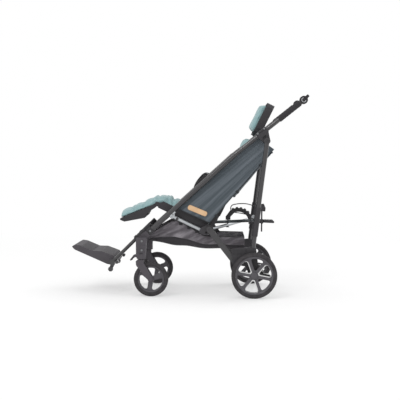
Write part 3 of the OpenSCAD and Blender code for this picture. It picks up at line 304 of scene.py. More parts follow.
def knittedMint():
    paint = Paint("knittedMint", Sheen_Weight=0.35, Sheen_Roughness=0.5, Specular_IOR_Level=0.2)
    loops = paint.cells(330, 0.35)
    cloud = paint.noise(16, 4.0)
    fibre = paint.noise(1500, 3.0)
    base = paint.blend(cloud, shade("#7f9fa2"), shade("#99b6b8"))
    # painted shade: the knit's holes are coloured a darker mint
    holeShade = (loops > 0.55) * 0.28
    return paint.feed(Base_Color=paint.blend(holeShade, base, shade("#567a7e")),
                      Roughness=0.86 + fibre * 0.1,
                      Normal=paint.bump(1 - loops, 0.0009, 0.6, paint.bump(fibre, 0.0002, 0.4)))


slateFolds = {"centre": (0.78, 1.12), "count": 46, "along": 1.4, "through": 9}


def wovenSlate():
    paint = Paint("wovenSlate", Sheen_Weight=0.2, Sheen_Roughness=0.45, Specular_IOR_Level=0.35)
    x, y, z = paint.axes()
    weave = x.wave(640) * (1 - z.wave(640)) + (1 - x.wave(640)) * y.wave(640)
    reach, rise = x - slateFolds["centre"][0], z - slateFolds["centre"][1]
    bearing = rise.sum("ARCTAN2", reach)  # the folds, and the painted sheen along them, fan out from above the fold joint
    far = (reach * reach + rise * rise).sum("SQRT")
    fan = paint.add("ShaderNodeCombineXYZ", {}, {0: bearing * slateFolds["count"],
                                                 1: far * slateFolds["along"],
                                                 2: y * slateFolds["through"]})
    streaks = paint.noise(0.9, 4.0, 0.55, fan)
    creaseShading = paint.noise(2.6, 3.0, 0.6, fan)
    cloud = paint.noise(6, 4.0)
    # painted sheen: the cloth is lighter along the fold streaks and crease ridges, plus some random
    # tone from the cloud noise
    sheenStreaks, creaseSheen = ((streaks - 0.44) * 3.4).held(), ((creaseShading - 0.5) * 2).held()
    light = (sheenStreaks * 0.6 + creaseSheen * 0.25 + cloud * 0.15).held()
    folds = paint.bump(streaks + creaseShading * 0.4, 0.006, 0.5)
    return paint.feed(Base_Color=paint.blend(light, shade("#3d464c"), shade("#737a82")),
                      Roughness=0.62 + weave * 0.16,
                      Normal=paint.bump(weave, 0.0004, 0.55, folds))


def blackWeb(name, dark, light, scale=520):
    paint = Paint(name, Sheen_Weight=0.15, Specular_IOR_Level=0.3)
    x, y, z = paint.axes()
    weave = (x + z).wave(scale) * (z - x + y).wave(scale)
    cloud = paint.noise(25, 4.0)
    return paint.feed(Base_Color=paint.blend(cloud * 0.6 + weave * 0.3, shade(dark), shade(light)),
                      Roughness=0.7 + weave * 0.15, Normal=paint.bump(weave, 0.0005, 0.6))


def basketMesh():
    paint = Paint("basketMesh", Sheen_Weight=0.15, Specular_IOR_Level=0.3)
    x, y, z = paint.axes()
    height = paint.add("ShaderNodeAttribute", {"attribute_name": "panelShare"}, output="Fac")
    net = height > 0.5  # netting above the seam, close cloth below it
    weave = (x + z).wave(420) * (z - x + y).wave(420)
    hole = (x + z).wave(330) * (x - z + y).wave(330)
    slant = paint.mapped(scale=(5, 8, 22), source=paint.mapped(turn=24))
    # painted shade and highlight: diagonal fold lines run dark to light across the netting, with no
    # folds in the shape
    creaseShading = ((paint.noise(1.5, 4.0, 0.6, slant) - 0.42) * 3.0).held()
    cloud = paint.noise(18, 5.0, 0.6)
    cloth = paint.blend(cloud, shade("#242225"), shade("#3a373b"))
    netting = paint.blend(creaseShading, shade("#5b575c"), shade("#a39ea4"))
    return paint.feed(Base_Color=paint.blend(net, cloth, netting),
                      Alpha=1 - net * (hole > 0.62),
                      Roughness=0.7 + weave * 0.15, Normal=paint.bump(weave, 0.0005, 0.6))


def tanLeather():
    paint = Paint("tanLeather", Specular_IOR_Level=0.4)
    grain = paint.cells(650)
    cloud = paint.noise(30, 4.0)
    return paint.feed(Base_Color=paint.blend(cloud, shade("#cba37a"), shade("#dfbd97")),
                      Roughness=0.5 + cloud * 0.12, Normal=paint.bump(grain, 0.0003, 0.5))


finish = {
    "frame": coatedTube(), "bright": satinBar(), "bolt": zincBolt(), "grip": gripRubber(),
    "moulding": grainedPlastic("mouldedGrain", "#262527", "#38363a"),
    "shell": grainedPlastic("shellGrain", "#242325", "#343236", 700, 0.0005, 0.52),
    "footplate": grainedPlastic("deckGrain", "#363337", "#4f4b50", 520, 0.0007, 0.55),
    "mint_fabric": knittedMint(), "black_fabric": blackWeb("blackCloth", "#232224", "#39373a"),
    "slate_fabric": wovenSlate(), "mesh_fabric": basketMesh(), "leather_tag": tanLeather(),
    "wheel_rim": wheelPlastic(), "tyre": tyreRubber(),
    "castor": grainedPlastic("castorGrain", "#39363a", "#504c52", 800, 0.0004, 0.5),
    "cable": grainedPlastic("cableJacket", "#222123", "#323033", 1500, 0.0001, 0.4),
    "webbing": blackWeb("strapWebbing", "#1f1e20", "#343235", 700),
    "tagThread": blackWeb("tagThread", "#b98d5c", "#d9b384", 900),
    "slateHem": blackWeb("slateHem", "#26292c", "#3a3e42", 600),
}
for part in frame["record"]["subparts"]:
    mesh = nodes[part["node"]].data
    mesh.materials.clear()
    mesh.materials.append(finish[part["material_slot"]])
nodes["bolt_heads"].data.materials[0] = finish["bolt"]
for name in nodes:
    if name.startswith(("castor_housing", "castor_fork")):
        nodes[name].data.materials[0] = finish["castor"]
print("materials made:", len(finish))


def asPiece(name, bm, material, body, smooth=True, recalc=True):
    bmesh.ops.remove_doubles(bm, verts=bm.verts, dist=1e-6)
    if recalc:
        bmesh.ops.recalc_face_normals(bm, faces=bm.faces)
    mesh = bpy.data.meshes.new(name)
    bm.to_mesh(mesh)
    bm.free()
    for face in mesh.polygons:
        face.use_smooth = smooth
    mesh.materials.append(finish[material])
    piece = bpy.data.objects.new(name, mesh)
    bpy.context.scene.collection.objects.link(piece)
    if body:
        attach(piece, body)
    return piece


def copyOf(nodeNames):  # one merged bmesh of CAD nodes
    bm = bmesh.new()
    for name in nodeNames:
        bm.from_mesh(nodes[name].data)
    bmesh.ops.remove_doubles(bm, verts=bm.verts, dist=1e-5)
    return bm


def applied(piece):  # evaluated mesh takes the place of the live one
    graph = bpy.context.evaluated_depsgraph_get()
    mesh = bpy.data.meshes.new_from_object(piece.evaluated_get(graph))
    piece.modifiers.clear()
    old = piece.data
    piece.data = mesh
    mesh.name = piece.name
    bpy.data.meshes.remove(old)
    for face in mesh.polygons:
        face.use_smooth = True


padding = {"pressure": 4.0, "frames": 20}


def puffed(piece, s):  # voxel shell blown up like a sewn pad
    remesh = piece.modifiers.new("voxels", "REMESH")
    remesh.mode, remesh.voxel_size, remesh.use_smooth_shade = "VOXEL", s["voxel"], True
    applied(piece)
    normals = [v.normal.copy() for v in piece.data.vertices]
    for v, normal in zip(piece.data.vertices, normals):
        v.co -= normal * s["shrink"]
    rest = [v.co.copy() for v in piece.data.vertices]
    scene = bpy.context.scene
    cloth = piece.modifiers.new("padding", "CLOTH")
    cloth.settings.use_pressure = True
    cloth.settings.uniform_pressure_force = padding["pressure"]
    cloth.settings.effector_weights.gravity = 0
    cloth.point_cache.frame_start, cloth.point_cache.frame_end = 1, padding["frames"]
    for step in range(padding["frames"]):
        scene.frame_set(step + 1)
    applied(piece)
    scene.frame_set(1)
    for v, start in zip(piece.data.vertices, rest):
        move = v.co - start
        if move.length > s["cap"]:
            v.co = start + move.normalized() * s["cap"]
    bm = bmesh.new()
    bm.from_mesh(piece.data)
    bmesh.ops.smooth_vert(bm, verts=bm.verts, factor=0.5, use_axis_x=True, use_axis_y=True,
                          use_axis_z=True)
    bm.to_mesh(piece.data)
    bm.free()
    finer = piece.modifiers.new("finer", "SUBSURF")
    finer.levels = finer.render_levels = 1
    applied(piece)


def sewn(piece, s, points, direction, outward):  # a seam through each point presses the pad in
    normals = [v.normal.copy() for v in piece.data.vertices]
    for v, normal in zip(piece.data.vertices, normals):
        push = 0.0
        for point in points:
            gap = (v.co - point).dot(direction)
            if abs(gap) < 4 * s["seamWidth"] and normal.dot(outward) > 0.05:
                fade = math.exp(-(gap / s["seamWidth"]) ** 2)
                press = s["seamDepth"] * fade * min(1, normal.dot(outward) * 2)
                push = press if abs(press) > abs(push) else push
        v.co -= normal * push
    piece.data.update()


def tube(name, points, radius, material, body, sides=8, closed=False, flat=1.0, up=None):
    # one ring, extruded from point to point and turned to the way ahead
    count, turns = len(points), []
    for i, point in enumerate(points):
        before = points[(i - 1) % count] if closed else points[max(0, i - 1)]
        after = points[(i + 1) % count] if closed else points[min(count - 1, i + 1)]
        way = (after - before).normalized()
        side = way.cross(up or Vector((0.15, 1, 0.1))).normalized()
        turn = Matrix((side, side.cross(way), way)).transposed().to_4x4()
        turn.translation = point
        turns.append(turn @ Matrix.Diagonal((flat, 1, 1, 1)))
    bm = bmesh.new()
    ring = bmesh.ops.create_circle(bm, segments=sides, radius=radius, cap_ends=False,
                                   matrix=turns[0])["verts"]
    start = edges = list({e for v in ring for e in v.link_edges})
    if not closed:
        bmesh.ops.contextual_create(bm, geom=start)
    for before, after in zip(turns, turns[1:]):
        grown = bmesh.ops.extrude_edge_only(bm, edges=edges)["geom"]
        ring = [g for g in grown if isinstance(g, bmesh.types.BMVert)]
        edges = [g for g in grown
                 if isinstance(g, bmesh.types.BMEdge) and all(v in ring for v in g.verts)]
        bmesh.ops.transform(bm, verts=ring, matrix=after @ before.inverted())
    if closed:
        bmesh.ops.bridge_loops(bm, edges=start + edges)
    else:
        bmesh.ops.contextual_create(bm, geom=edges)
    return asPiece(name, bm, material, body)


def sampled(points, steps):  # even points along a smooth line through the given ones
    out = []
    for i in range(steps + 1):
        t = i / steps * (len(points) - 1)
        k = min(len(points) - 2, int(t))
        f = t - k
        a, b = points[max(0, k - 1)], points[k]
        c, d = points[k + 1], points[min(len(points) - 1, k + 2)]
        bend = (2 * a - 5 * b + 4 * c - d) * 0.5 + (3 * b - a - 3 * c + d) * 0.5 * f
        out.append(b + ((c - a) * 0.5 + bend * f) * f)
    return out


def sheetGrid(rows, cols, place):  # a grid made by the operator and laid out by place(t, q)
    bm = bmesh.new()
    grid = bmesh.ops.create_grid(bm, x_segments=cols, y_segments=rows, size=0.5)["verts"]
    for v in grid:
        v.co = place(v.co.y + 0.5, v.co.x + 0.5)
    return bm


def thickened(bm, thickness, inward):  # cloth wall of even thickness on one side
    bmesh.ops.recalc_face_normals(bm, faces=bm.faces)
    mean = sum((f.normal for f in bm.faces), Vector()) / len(bm.faces)
    if mean.dot(inward) > 0:
        bmesh.ops.reverse_faces(bm, faces=bm.faces)
    bmesh.ops.solidify(bm, geom=bm.faces[:], thickness=thickness)


def webBlock(turn, size, cuts, edge):  # a short flat piece of webbing with soft edges
    bm = bmesh.new()
    bmesh.ops.create_cube(bm, size=1.0)
    bmesh.ops.transform(bm, verts=bm.verts, matrix=turn @ Matrix.Diagonal((*size, 1)))
    bmesh.ops.subdivide_edges(bm, edges=bm.edges[:], cuts=cuts, use_grid_fill=True)
    sharp = [e for e in bm.edges if e.calc_face_angle(0) > 1]
    bmesh.ops.bevel(bm, geom=sharp, offset=edge, segments=2, affect="EDGES", profile=0.5,
                    material=-1)
    return bm


seatPad = {
    "voxel": 0.0055, "cap": 0.008, "shrink": 0.0015, "fill": 0.7, "half": 0.146,
    "kneeUnder": 11.8, "seams": (-290, -242, -193, -168, -111, -85, -30, 25),
    "seamDepth": 0.0065, "seamWidth": 0.006, "bendFrom": -22, "bendTo": 22,
}


def makeSeatPad():  # one pad that runs from the calf over the knee to the back of the seat
    s = seatPad
    under = s["kneeUnder"]
    bm = copyOf(["seat_cushion", "leg_rest_cushion"])
    outline = [onCalf(-34, 7), onCalf(-30, 23), onCalf(-8, 34), onSeat(12, 38), onSeat(34, 42),
               onSeat(36, 4), onSeat(20, under - 1), onSeat(2, under), onCalf(-8, under - 1),
               onCalf(-22, 6)]
    face = bm.faces.new([bm.verts.new(p + Vector((0, -s["half"], 0))) for p in outline])
    moved = bmesh.ops.extrude_face_region(bm, geom=[face])["geom"]
    corners = [g for g in moved if isinstance(g, bmesh.types.BMVert)]
    bmesh.ops.translate(bm, verts=corners, vec=(0, 2 * s["half"], 0))
    piece = asPiece("mintSeatPad", bm, "mint_fabric", None)
    puffed(piece, s)
    sewn(piece, s, [Vector((x * mm, 0, 0)) for x in s["seams"]], Vector((1, 0, 0)),
         Vector((0, 0, 1)))
    onCalf(s["bendFrom"])
    onSeat(s["bendTo"])
    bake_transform(piece)
    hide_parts("seat_cushion", "leg_rest_cushion")


backPads = {
    "mintBackPad": {
        "node": "back_cushion", "body": "backrest", "slot": "mint_fabric",
        "voxel": 0.0055, "cap": 0.007, "shrink": 0.001, "fill": 0.7,
        "seams": (110, 198, 287, 375), "seamDepth": 0.007, "seamWidth": 0.0065,
    },
    "mintHeadPad": {
        "node": "headrest_pad", "body": "headrest", "slot": "mint_fabric",
        "voxel": 0.005, "cap": 0.006, "shrink": 0.001, "fill": 0.75,
        "seams": (573,), "seamDepth": -0.004, "seamWidth": 0.014,  # a soft swell in the middle
    },
    "trunkSupports": {
        "node": "trunk_pads", "body": "backrest", "slot": "black_fabric",
        "voxel": 0.004, "cap": 0.003, "shrink": 0.0005, "fill": 0.6, "seams": (),
    },
}


def makeBackPads():
    lean = places["backAngle"]
    for name, s in backPads.items():
        piece = asPiece(name, copyOf([s["node"]]), s["slot"], None)
        puffed(piece, s)
        sewn(piece, s, [onBack(u) for u in s["seams"]], heading(lean), across(lean))
        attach(piece, s["body"])
        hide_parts(s["node"])


trunkPiping = {
    "radius": 0.0028, "faces": ((141.5, "Inner"), (163.5, "Outer")), "steps": 60,
    "outline": [(57, 60), (68, 36), (112, 28.5), (156, 36), (180, 66), (189, 128), (173, 163),
                (110, 175), (66, 156), (56, 104)],
}


def makeTrunkPiping():
    s = trunkPiping
    for side, name in bothSides:
        for y, face in s["faces"]:
            points = [onBack(u, n, side * y) for u, n in s["outline"]]
            loop = sampled(points + points[:1], s["steps"])[:-1]
            tube(f"trunkPiping{name}{face}", loop, s["radius"], "webbing", "backrest",
                 closed=True)


sidePanel = {
    "rows": 90, "cols": 60, "wall": 0.0022, "face": 185.6, "topFace": 182.1, "fold": 3.0,
    "start": -66, "run": 416, "corner": 0.36, "ease": 0.75, "easeRun": 0.2, "length": 0.42,
    "ripple": 0.8, "crease": 0.35, "sag": 0.25, "deepest": 1.25,
    "piping": 0.0022, "hem": 0.0048, "hemFlat": 2.4,
    "tabs": (0.42, 0.63, 0.86), "tab": (0.013, 0.0016, 0.018), "tabOut": 0.006,
}


def panelPoint(side, t, q, lift=0.0):  # t runs up the tube, q from the tube down to the free edge
    s = sidePanel
    high = onTube(s["start"] + s["run"] * t)
    first = onTube(s["start"]) + Vector((6 * mm, 0, -6 * mm))
    low, rear, corner = places["panelLow"], places["panelRear"], s["corner"]
    if t < corner:
        edge = first.lerp(low, t / corner)
    else:
        edge = low.lerp(rear, (t - corner) / (1 - corner))
    ease = max(0.0, min(1.0, (t - s["ease"]) / s["easeRun"]))
    face = s["face"] + (s["topFace"] - s["face"]) * ease
    spread = 4 * q * (1 - q) * math.sin(math.pi * min(1, t * 1.1))
    ripple = 0.5 * (1 + math.sin(math.radians(q * 900 + 30 * math.sin(t * 7)))) * spread
    crease = spread * (0.5 + 0.5 * math.sin(q * 41 + t * 9 + 2.0 * math.sin(t * 5)))
    sag = math.sin(math.radians(t * 1500 + q * 240)) * q * q * (1 - q) * 4
    folds = ripple * s["ripple"] + crease * s["crease"] + sag * s["sag"]
    depth = face - s["fold"] * min(s["deepest"], max(0, folds)) + lift
    point = high.lerp(edge, q)
    return Vector((point.x, side * depth * mm, point.z))


def makeSidePanels():
    s = sidePanel
    level, way = Vector((0, 1, 0)), panelEdge.normalized()
    out = level.cross(way)
    for side, name in bothSides:
        bm = sheetGrid(s["rows"], s["cols"], lambda t, q: panelPoint(side, t, q, -0.1))
        thickened(bm, s["wall"], Vector((0, -side, 0)))
        panel = asPiece(f"sideCloth{name}", bm, "slate_fabric", "frame",
                        recalc=False)
        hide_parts(f"side_panel_{name.lower()}")
        area = sum(f.area for f in panel.data.polygons) / 2
        round(area / s["length"], 3)
        # piping along the tube, and a bound hem along the free edge
        along = [panelPoint(side, i / 60, 0.004, 0.2) for i in range(61)]
        tube(f"tubePiping{name}", along, s["piping"], "webbing", "frame", up=level)
        edge = [panelPoint(side, i / 70, 0.985, -1.3) for i in range(2, 70)]
        tube(f"edgeHem{name}", edge, s["hem"], "slateHem", "frame", sides=10,
             flat=1.0 / s["hemFlat"], up=level)
        for t in s["tabs"]:  # webbing tabs that step out at the rear edge
            base, tip = panelPoint(side, t, 0.93, 0.35), panelPoint(side, t, 1.0, 0.35)
            turn = Matrix((way, level, out)).transposed().to_4x4()
            turn.translation = (base + tip) / 2 + out * s["tabOut"]
            strip = webBlock(turn, s["tab"], 2, 0.0005)
            asPiece(f"edgeTab{name}{int(t * 100)}", strip, "slateHem", "frame")


backSling = {
    "rows": 60, "cols": 40, "wall": 0.003, "start": 0.36, "run": 0.61, "behind": 0.9, "bag": 10,
    "width": 0.375, "hem": 0.0042, "pushedTo": -20, "keep": 0.25,
}


def slingPoint(t, q):
    s = backSling
    u, w = s["start"] + s["run"] * t, 2 * q - 1
    slack = 1 - w * w
    bag = s["bag"] * slack * math.sin(math.pi * u) + 1.2 * math.sin(w * 9 + t * 3) * slack
    bag += 0.8 * math.sin(t * 22 + 2 * w) * slack
    return fromPoint(places["panelLow"], panelLean, u * panelEdge.length / mm,
                     -s["behind"] - bag, w * sidePanel["face"])


def makeBackSling():
    s = backSling
    ahead = across(panelLean)
    bm = sheetGrid(s["rows"], s["cols"], slingPoint)
    thickened(bm, s["wall"], Vector((0.76, 0, -0.65)))
    sling = asPiece("backSlingCloth", bm, "slate_fabric", "frame", recalc=False)
    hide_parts("back_sling")
    soft = [sling]
    for t, name in ((0.02, "Low"), (0.985, "High")):  # bound ends
        rim = [slingPoint(t, i / 40) - ahead * 0.0016 for i in range(41)]
        soft.append(tube(f"slingHem{name}", rim, s["hem"], "slateHem", "frame",
                         up=ahead))
    for cloth in soft:  # each cloth piece gets a mesh of its own
        fromPoint(places["panelLow"], panelLean, 0, s["pushedTo"])
        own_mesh(cloth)


basketTub = {
    "rows": 22, "cols": 46, "wall": 0.0018, "front": -208, "length": 500,
    "frontTop": 316, "rearTop": 306, "railFrom": -75, "railTo": 84, "railLine": -24,
    "floor": 276, "fall": 38, "sag": 14, "ripple": 2.5,
    "wide": 162.8, "narrow": 150.0, "wallFrom": 0.42, "wallFoot": 0.16, "netFrom": 0.33,
    "flat": 0.62, "binding": 0.0034, "seam": 0.0026, "foldTo": -0.208, "foldKeep": 0.22,
}


def rimHeight(x):
    s = basketTub
    front, first, last = s["front"], s["railFrom"], s["railTo"]

    def ramp(a, b, t):
        return a + (b - a) * t
    if x < first:
        return ramp(s["frontTop"], rimHeight(first), (x - front) / (first - front))
    if x < last:
        under = ramp(10, 20, max(0, min(1, (x - 10) / 30)))
        seatLine = onSeat(0, s["railLine"] - under) / mm
        return seatLine.z + (x - seatLine.x) * math.tan(math.radians(places["seatAngle"]))
    return ramp(rimHeight(last - 0.1), s["rearTop"], (x - last) / (front + s["length"] - last))


def floorHeight(x):
    s = basketTub
    t = (x - s["front"]) / s["length"]
    waves = s["ripple"] * math.sin(6 * math.pi * t) - s["sag"] * math.sin(math.pi * t)
    return s["floor"] - s["fall"] * t + waves


def basketPoint(t, q):  # t along the chair, q across from rim to rim
    s = basketTub
    x = s["front"] + s["length"] * t
    top, low = rimHeight(x), floorHeight(x)
    share = abs(2 * q - 1)
    side = 1 if q > 0.5 else -1
    if share > s["wallFrom"]:  # wall
        k = (share - s["wallFrom"]) / (1 - s["wallFrom"])
        y = s["narrow"] + (s["wide"] - s["narrow"]) * k
        z = low + (top - low) * (s["wallFoot"] + (1 - s["wallFoot"]) * k)
        y -= 1.6 * math.sin(k * math.pi) * (1 + math.sin(x * 0.07 + k * 3))
    else:
        k = share / s["wallFrom"]
        y = (s["narrow"] - 1) * math.sin(k * math.pi / 2)
        z = low + (top - low) * s["wallFoot"] * k ** 6
        z += 1.4 * math.sin(x * 0.06 + k * 4) * (1 - k)
    return Vector((x * mm, side * y * mm, z * mm))


def makeBasket():
    s = basketTub
    front, rear = s["front"], s["front"] + s["length"]
    bm = sheetGrid(s["cols"], s["rows"], basketPoint)
    bm.edges.ensure_lookup_table()
    for x in (front, rear):  # gathered ends
        rim = [e for e in bm.edges
               if e.is_boundary and all(abs(v.co.x / mm - x) < 0.5 for v in e.verts)]
        ends = sorted({v for e in rim for v in e.verts}, key=lambda v: v.co.y)
        top = bm.edges.new((ends[0], ends[-1]))
        bmesh.ops.contextual_create(bm, geom=rim + [top])
    bmesh.ops.triangulate(bm, faces=[f for f in bm.faces if len(f.verts) > 6])
    net = bm.verts.layers.float.new("panelShare")
    for v in bm.verts:
        x = v.co.x / mm
        rise = (v.co.z / mm - floorHeight(x)) / max(1, rimHeight(x) - floorHeight(x))
        v[net] = 0.0
        if abs(v.co.y) > 0.14:
            v[net] = max(0.0, min(1.0, (rise - s["netFrom"]) * 4 + 0.5))
    bmesh.ops.recalc_face_normals(bm, faces=bm.faces)
    bmesh.ops.solidify(bm, geom=bm.faces[:], thickness=s["wall"])
    piece = asPiece("basketTub", bm, "mesh_fabric", "frame")
    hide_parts("basket")
    area = sum(f.area for f in piece.data.polygons) / 2
    round(area / s["flat"], 3)
    soft = [piece]
    level = Vector((0, 1, 0))
    seamRise = (s["netFrom"] - s["wallFoot"]) / (1 - s["wallFoot"])
    seamShare = s["wallFrom"] + (1 - s["wallFrom"]) * seamRise
    for side, name in bothSides:  # rim binding and the seam between net and cloth
        rim = [Vector((x * mm, side * (s["wide"] - 0.6) * mm, (rimHeight(x) - 1) * mm))
               for x in range(front + 2, rear, 7)]
        soft.append(tube(f"basketBinding{name}", rim, s["binding"], "webbing", "frame",
                         flat=0.6, up=level))
        seam = []
        for x in range(front + 4, rear - 2, 7):
            point = basketPoint((x - front) / s["length"], 0.5 + side * seamShare / 2)
            seam.append(point + Vector((0, side * 0.0004, 0)))
        soft.append(tube(f"basketSeam{name}", seam, s["seam"], "webbing", "frame",
                         flat=0.7, up=level))
    for cloth in soft:  # each piece of the tub gets a mesh of its own
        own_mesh(cloth)


basketStrap = {
    "thick": 1.4, "half": 9, "top": 4, "drop": 26, "face": 163.95, "along": (104, 150, 197, 243),
}


def makeStraps():
    s = basketStrap
    first = None
    size = (2 * s["half"] * mm, s["thick"] * mm, (s["top"] + s["drop"]) * mm)
    for side, name in bothSides:
        for u in s["along"]:
            rod = onSeat(u, basketTub["railLine"])
            middle = Vector((rod.x, side * s["face"] * mm, rod.z + (s["top"] - s["drop"]) / 2 * mm))
            bm = webBlock(Matrix.Translation(middle), size, 3, 0.0004)
            strap = asPiece(f"basketStrap{name}{u}", bm, "webbing", "frame")
            first = first or strap
    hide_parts("basket_straps")


sideTag = {
    "mid": (45, 442), "angle": -22, "half": (53, 13), "corner": 10.5, "thick": 0.0018,
    "face": 187.1, "stitches": 34, "stitchIn": 3.2, "stitchTurn": 7.5,
    "stitch": (0.0013, 0.00045, 0.00045), "stitchOut": 0.00108,
}


def makeTags():
    s = sideTag
    middle = Vector((s["mid"][0] * mm, 0, s["mid"][1] * mm))
    lean = Matrix.Rotation(math.radians(-s["angle"]), 4, "Y")
    a, c = ((half - s["stitchIn"]) * mm for half in s["half"])
    r = s["stitchTurn"] * mm
    lap = 4 * (a - r) + 4 * (c - r) + 2 * math.pi * r
    for side, name in bothSides:
        bm = bmesh.new()
        bmesh.ops.create_cube(bm, size=1.0)
        size = (2 * s["half"][0] * mm, s["thick"], 2 * s["half"][1] * mm)
        bmesh.ops.scale(bm, verts=bm.verts, vec=size)
        uprights = [e for e in bm.edges if abs(e.verts[0].co.y - e.verts[1].co.y) > 0.001]
        bmesh.ops.bevel(bm, geom=uprights, offset=s["corner"] * mm, segments=7, affect="EDGES",
                        profile=0.5, material=-1)
        faces = [f for f in bm.faces if abs(f.normal.y) > 0.9]
        bmesh.ops.inset_region(bm, faces=faces, thickness=0.0012, depth=0.0002)
        faces = [f for f in bm.faces if abs(f.normal.y) > 0.99 and len(f.verts) > 8]
        bmesh.ops.inset_region(bm, faces=faces, thickness=0.0015, depth=-0.0002)
        turn = Matrix.Translation(middle + Vector((0, side * s["face"] * mm, 0))) @ lean
        bmesh.ops.transform(bm, verts=bm.verts, matrix=turn)
        tag = asPiece(f"sideTag{name}", bm, "leather_tag", "frame", smooth=False)
        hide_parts("side_tags")
        stitches = bmesh.new()
        for i in range(s["stitches"]):  # running stitch round the tag
            spot, way = trackPoint(i / s["stitches"] * lap, a, c, r)
            ball = bmesh.ops.create_icosphere(stitches, subdivisions=1, radius=1.0)["verts"]
            lay = Matrix.Translation(Vector((spot.x, side * s["stitchOut"], spot.y)))
            lay = lay @ Matrix.Rotation(-math.atan2(way.y, way.x), 4, "Y")
            bmesh.ops.transform(stitches, verts=ball,
                                matrix=turn @ lay @ Matrix.Diagonal((*s["stitch"], 1)))
        asPiece(f"tagStitch{name}", stitches, "tagThread", "frame")


def trackPoint(t, a, c, r):  # a point and its direction on a rounded rectangle
    legs = [(2 * (a - r), 0), (2 * (c - r), 90), (2 * (a - r), 180), (2 * (c - r), 270)]
    centre = [(a - r, -(c - r)), (a - r, c - r), (-(a - r), c - r), (-(a - r), -(c - r))]
    start = [(-(a - r), -c), (a, -(c - r)), (a - r, c), (-a, c - r)]
    for k, (length, angle) in enumerate(legs):
        way = Vector((math.cos(math.radians(angle)), math.sin(math.radians(angle))))
        if t <= length:
            return Vector(start[k]) + way * t, way
        t -= length
        if t <= math.pi * r / 2:
            phi = math.radians(angle - 90) + t / r
            spot = Vector(centre[k]) + Vector((math.cos(phi), math.sin(phi))) * r
            return spot, Vector((-math.sin(phi), math.cos(phi)))
        t -= math.pi * r / 2
    return Vector(start[0]), Vector((1, 0))


releaseCable = {
    "diameter": 0.005, "steps": 40,
    "route": [(366, -44, 452), (345, -46, 462), (305, -50, 473), (270, -53, 474), (241, -54, 470),
              (225.4, -52, 463.6), (219, -48, 448), (225.4, -44, 432.4), (241, -39, 426),
              (262, -31, 423), (284, -22, 419), (304, -13.4, 414)],
}


def makeCable():
    s = releaseCable
    points = sampled([Vector(p) * mm for p in s["route"]], s["steps"])
    curve = bpy.data.curves.new("releaseCable", "CURVE")
    curve.dimensions = "3D"
    line = curve.splines.new("POLY")
    line.points.add(len(points) - 1)
    for spot, p in zip(line.points, points):
        spot.co = (*p, 1)
    curve.bevel_depth, curve.bevel_resolution = s["diameter"] / 2, 4
    curve.use_fill_caps = True
    curve.materials.append(finish["cable"])
    cable = bpy.data.objects.new("releaseCable", curve)
    bpy.context.scene.collection.objects.link(cable)
    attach(cable, "brace")
    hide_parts("release_cable")
    length = sum((b - a).length for a, b in zip(points, points[1:]))


knobGlintRing = {"radius": 11, "wire": 0.0019, "face": 217.2, "open": 55, "tab": 45, "steps": 36}


def makeKnobGlintRings():  # bright satin ring on the outer face of each knob, open towards the tab: a painted highlight along the knob's rim
    s = knobGlintRing
    for side, name in bothSides:
        points = []
        for i in range(s["steps"] + 1):
            turn = s["tab"] + s["open"] + (360 - 2 * s["open"]) * i / s["steps"]
            spot = heading(turn) * s["radius"] + Vector((0, side * s["face"], 0))
            points.append(places["knob"] + spot * mm)
        tube(f"knobGlintRing{name}", points, s["wire"], "bright", "frame",
             up=Vector((0, 1, 0)))


lens = {"focal": 82.37, "spot": (0.1564, -4.94, 0.7292), "yaw": -1.19, "pitch": 2.79, "roll": 0.57}


def makeCamera():
    yaw, pitch, roll = (math.radians(lens[k]) for k in ("yaw", "pitch", "roll"))
    ahead = Vector((math.sin(yaw) * math.cos(pitch), math.cos(yaw) * math.cos(pitch),
                    -math.sin(pitch)))
    right = Vector((math.cos(yaw), -math.sin(yaw), 0))
    up = right.cross(ahead)
    turnedRight = right * math.cos(roll) + up * math.sin(roll)
    turnedUp = up * math.cos(roll) - right * math.sin(roll)
    data = bpy.data.cameras.new("photoCamera")
    data.lens, data.sensor_width = lens["focal"], 36
    data.clip_start, data.clip_end = 0.1, 60
    camera = bpy.data.objects.new("photoCamera", data)
    bpy.context.scene.collection.objects.link(camera)
    turn = Matrix((turnedRight, turnedUp, -ahead)).transposed().to_4x4()
    turn.translation = Vector(lens["spot"])
    camera.matrix_world = turn
    bpy.context.scene.camera = camera


studio = {
    "fill": 38, "world": 0.95, "floor": 14, "below": 0.0005, "fadeFrom": 0.9, "fadeOver": 2.6,
    "glow": 0.38, "target": (0, 0, 0.45),
    "lamps": {"keySoft": ((-1.6, -3.2, 3.4), 1.1, 1.0), "rimSoft": ((2.6, 1.6, 2.8), 2.0, 0.5)},
}


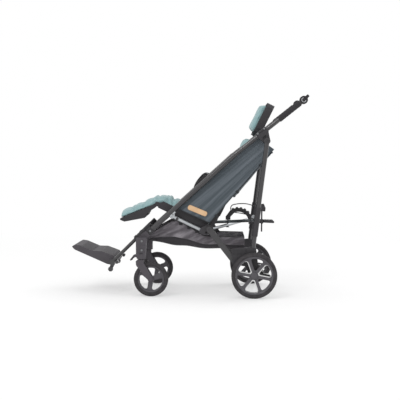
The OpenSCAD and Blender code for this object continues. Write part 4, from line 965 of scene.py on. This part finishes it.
def makeFloor():  # white floor that fades into the white behind it
    s = studio
    bm = bmesh.new()
    bmesh.ops.create_grid(bm, x_segments=1, y_segments=1, size=s["floor"])
    mesh = bpy.data.meshes.new("studioFloor")
    bm.to_mesh(mesh)
    bm.free()
    floor = bpy.data.objects.new("studioFloor", mesh)
    floor.location.z = -s["below"]
    bpy.context.scene.collection.objects.link(floor)
    paint = Paint("floorWhite", Roughness=0.9, Specular_IOR_Level=0.1)
    x, y, _ = paint.axes()
    reach = (x * x + (y - 0.2) * (y - 0.2)).sum("SQRT")
    away = ((reach - s["fadeFrom"]) / s["fadeOver"]).held()
    paint.shader.inputs["Base Color"].default_value = (0.95, 0.95, 0.95, 1)
    glow = paint.tree.nodes.new("ShaderNodeEmission")
    mixed = paint.tree.nodes.new("ShaderNodeMixShader")
    paint.tree.links.new((away * (1 - s["glow"]) + s["glow"]).held().socket, mixed.inputs[0])
    paint.tree.links.new(paint.shader.outputs[0], mixed.inputs[1])
    paint.tree.links.new(glow.outputs[0], mixed.inputs[2])
    paint.tree.links.new(mixed.outputs[0], paint.tree.nodes["Material Output"].inputs["Surface"])
    mesh.materials.append(paint.material)


def makeWorld():  # pure white where a ray looks at it, a little softer as light
    world = bpy.data.worlds.new("studioWorld")
    bpy.context.scene.world = world
    world.use_nodes = True
    tree = world.node_tree
    back = tree.nodes["Background"]
    back.inputs["Color"].default_value = (1, 1, 1, 1)
    path = tree.nodes.new("ShaderNodeLightPath")
    seen = path.outputs["Is Camera Ray"]
    for ray in ("Is Glossy Ray", "Is Transmission Ray"):
        either = tree.nodes.new("ShaderNodeMath")
        either.operation = "MAXIMUM"
        tree.links.new(seen, either.inputs[0])
        tree.links.new(path.outputs[ray], either.inputs[1])
        seen = either.outputs[0]
    level = tree.nodes.new("ShaderNodeMath")
    level.operation = "MULTIPLY_ADD"
    tree.links.new(seen, level.inputs[0])
    level.inputs[1].default_value = 1 - studio["world"]
    level.inputs[2].default_value = studio["world"]
    tree.links.new(level.outputs[0], back.inputs["Strength"])


def makeLamps():
    s = studio
    for name, (spot, size, share) in s["lamps"].items():
        data = bpy.data.lights.new(name, "AREA")
        data.energy, data.size = s["fill"] * share, size
        lamp = bpy.data.objects.new(name, data)
        lamp.location = spot
        aim = Vector(s["target"]) - Vector(spot)
        lamp.rotation_euler = aim.to_track_quat("-Z", "Y").to_euler()
        bpy.context.scene.collection.objects.link(lamp)


makeCamera()
makeCable()
print("camera and cable done")
makeFloor()
makeWorld()
makeLamps()
bpy.context.scene.view_settings.view_transform = "Standard"
print("studio done")
makeSeatPad()
makeBackPads()
makeTrunkPiping()
print("pads done")
makeSidePanels()
makeBackSling()
makeBasket()
makeStraps()
makeTags()
makeKnobGlintRings()
print("cloth and trim done")
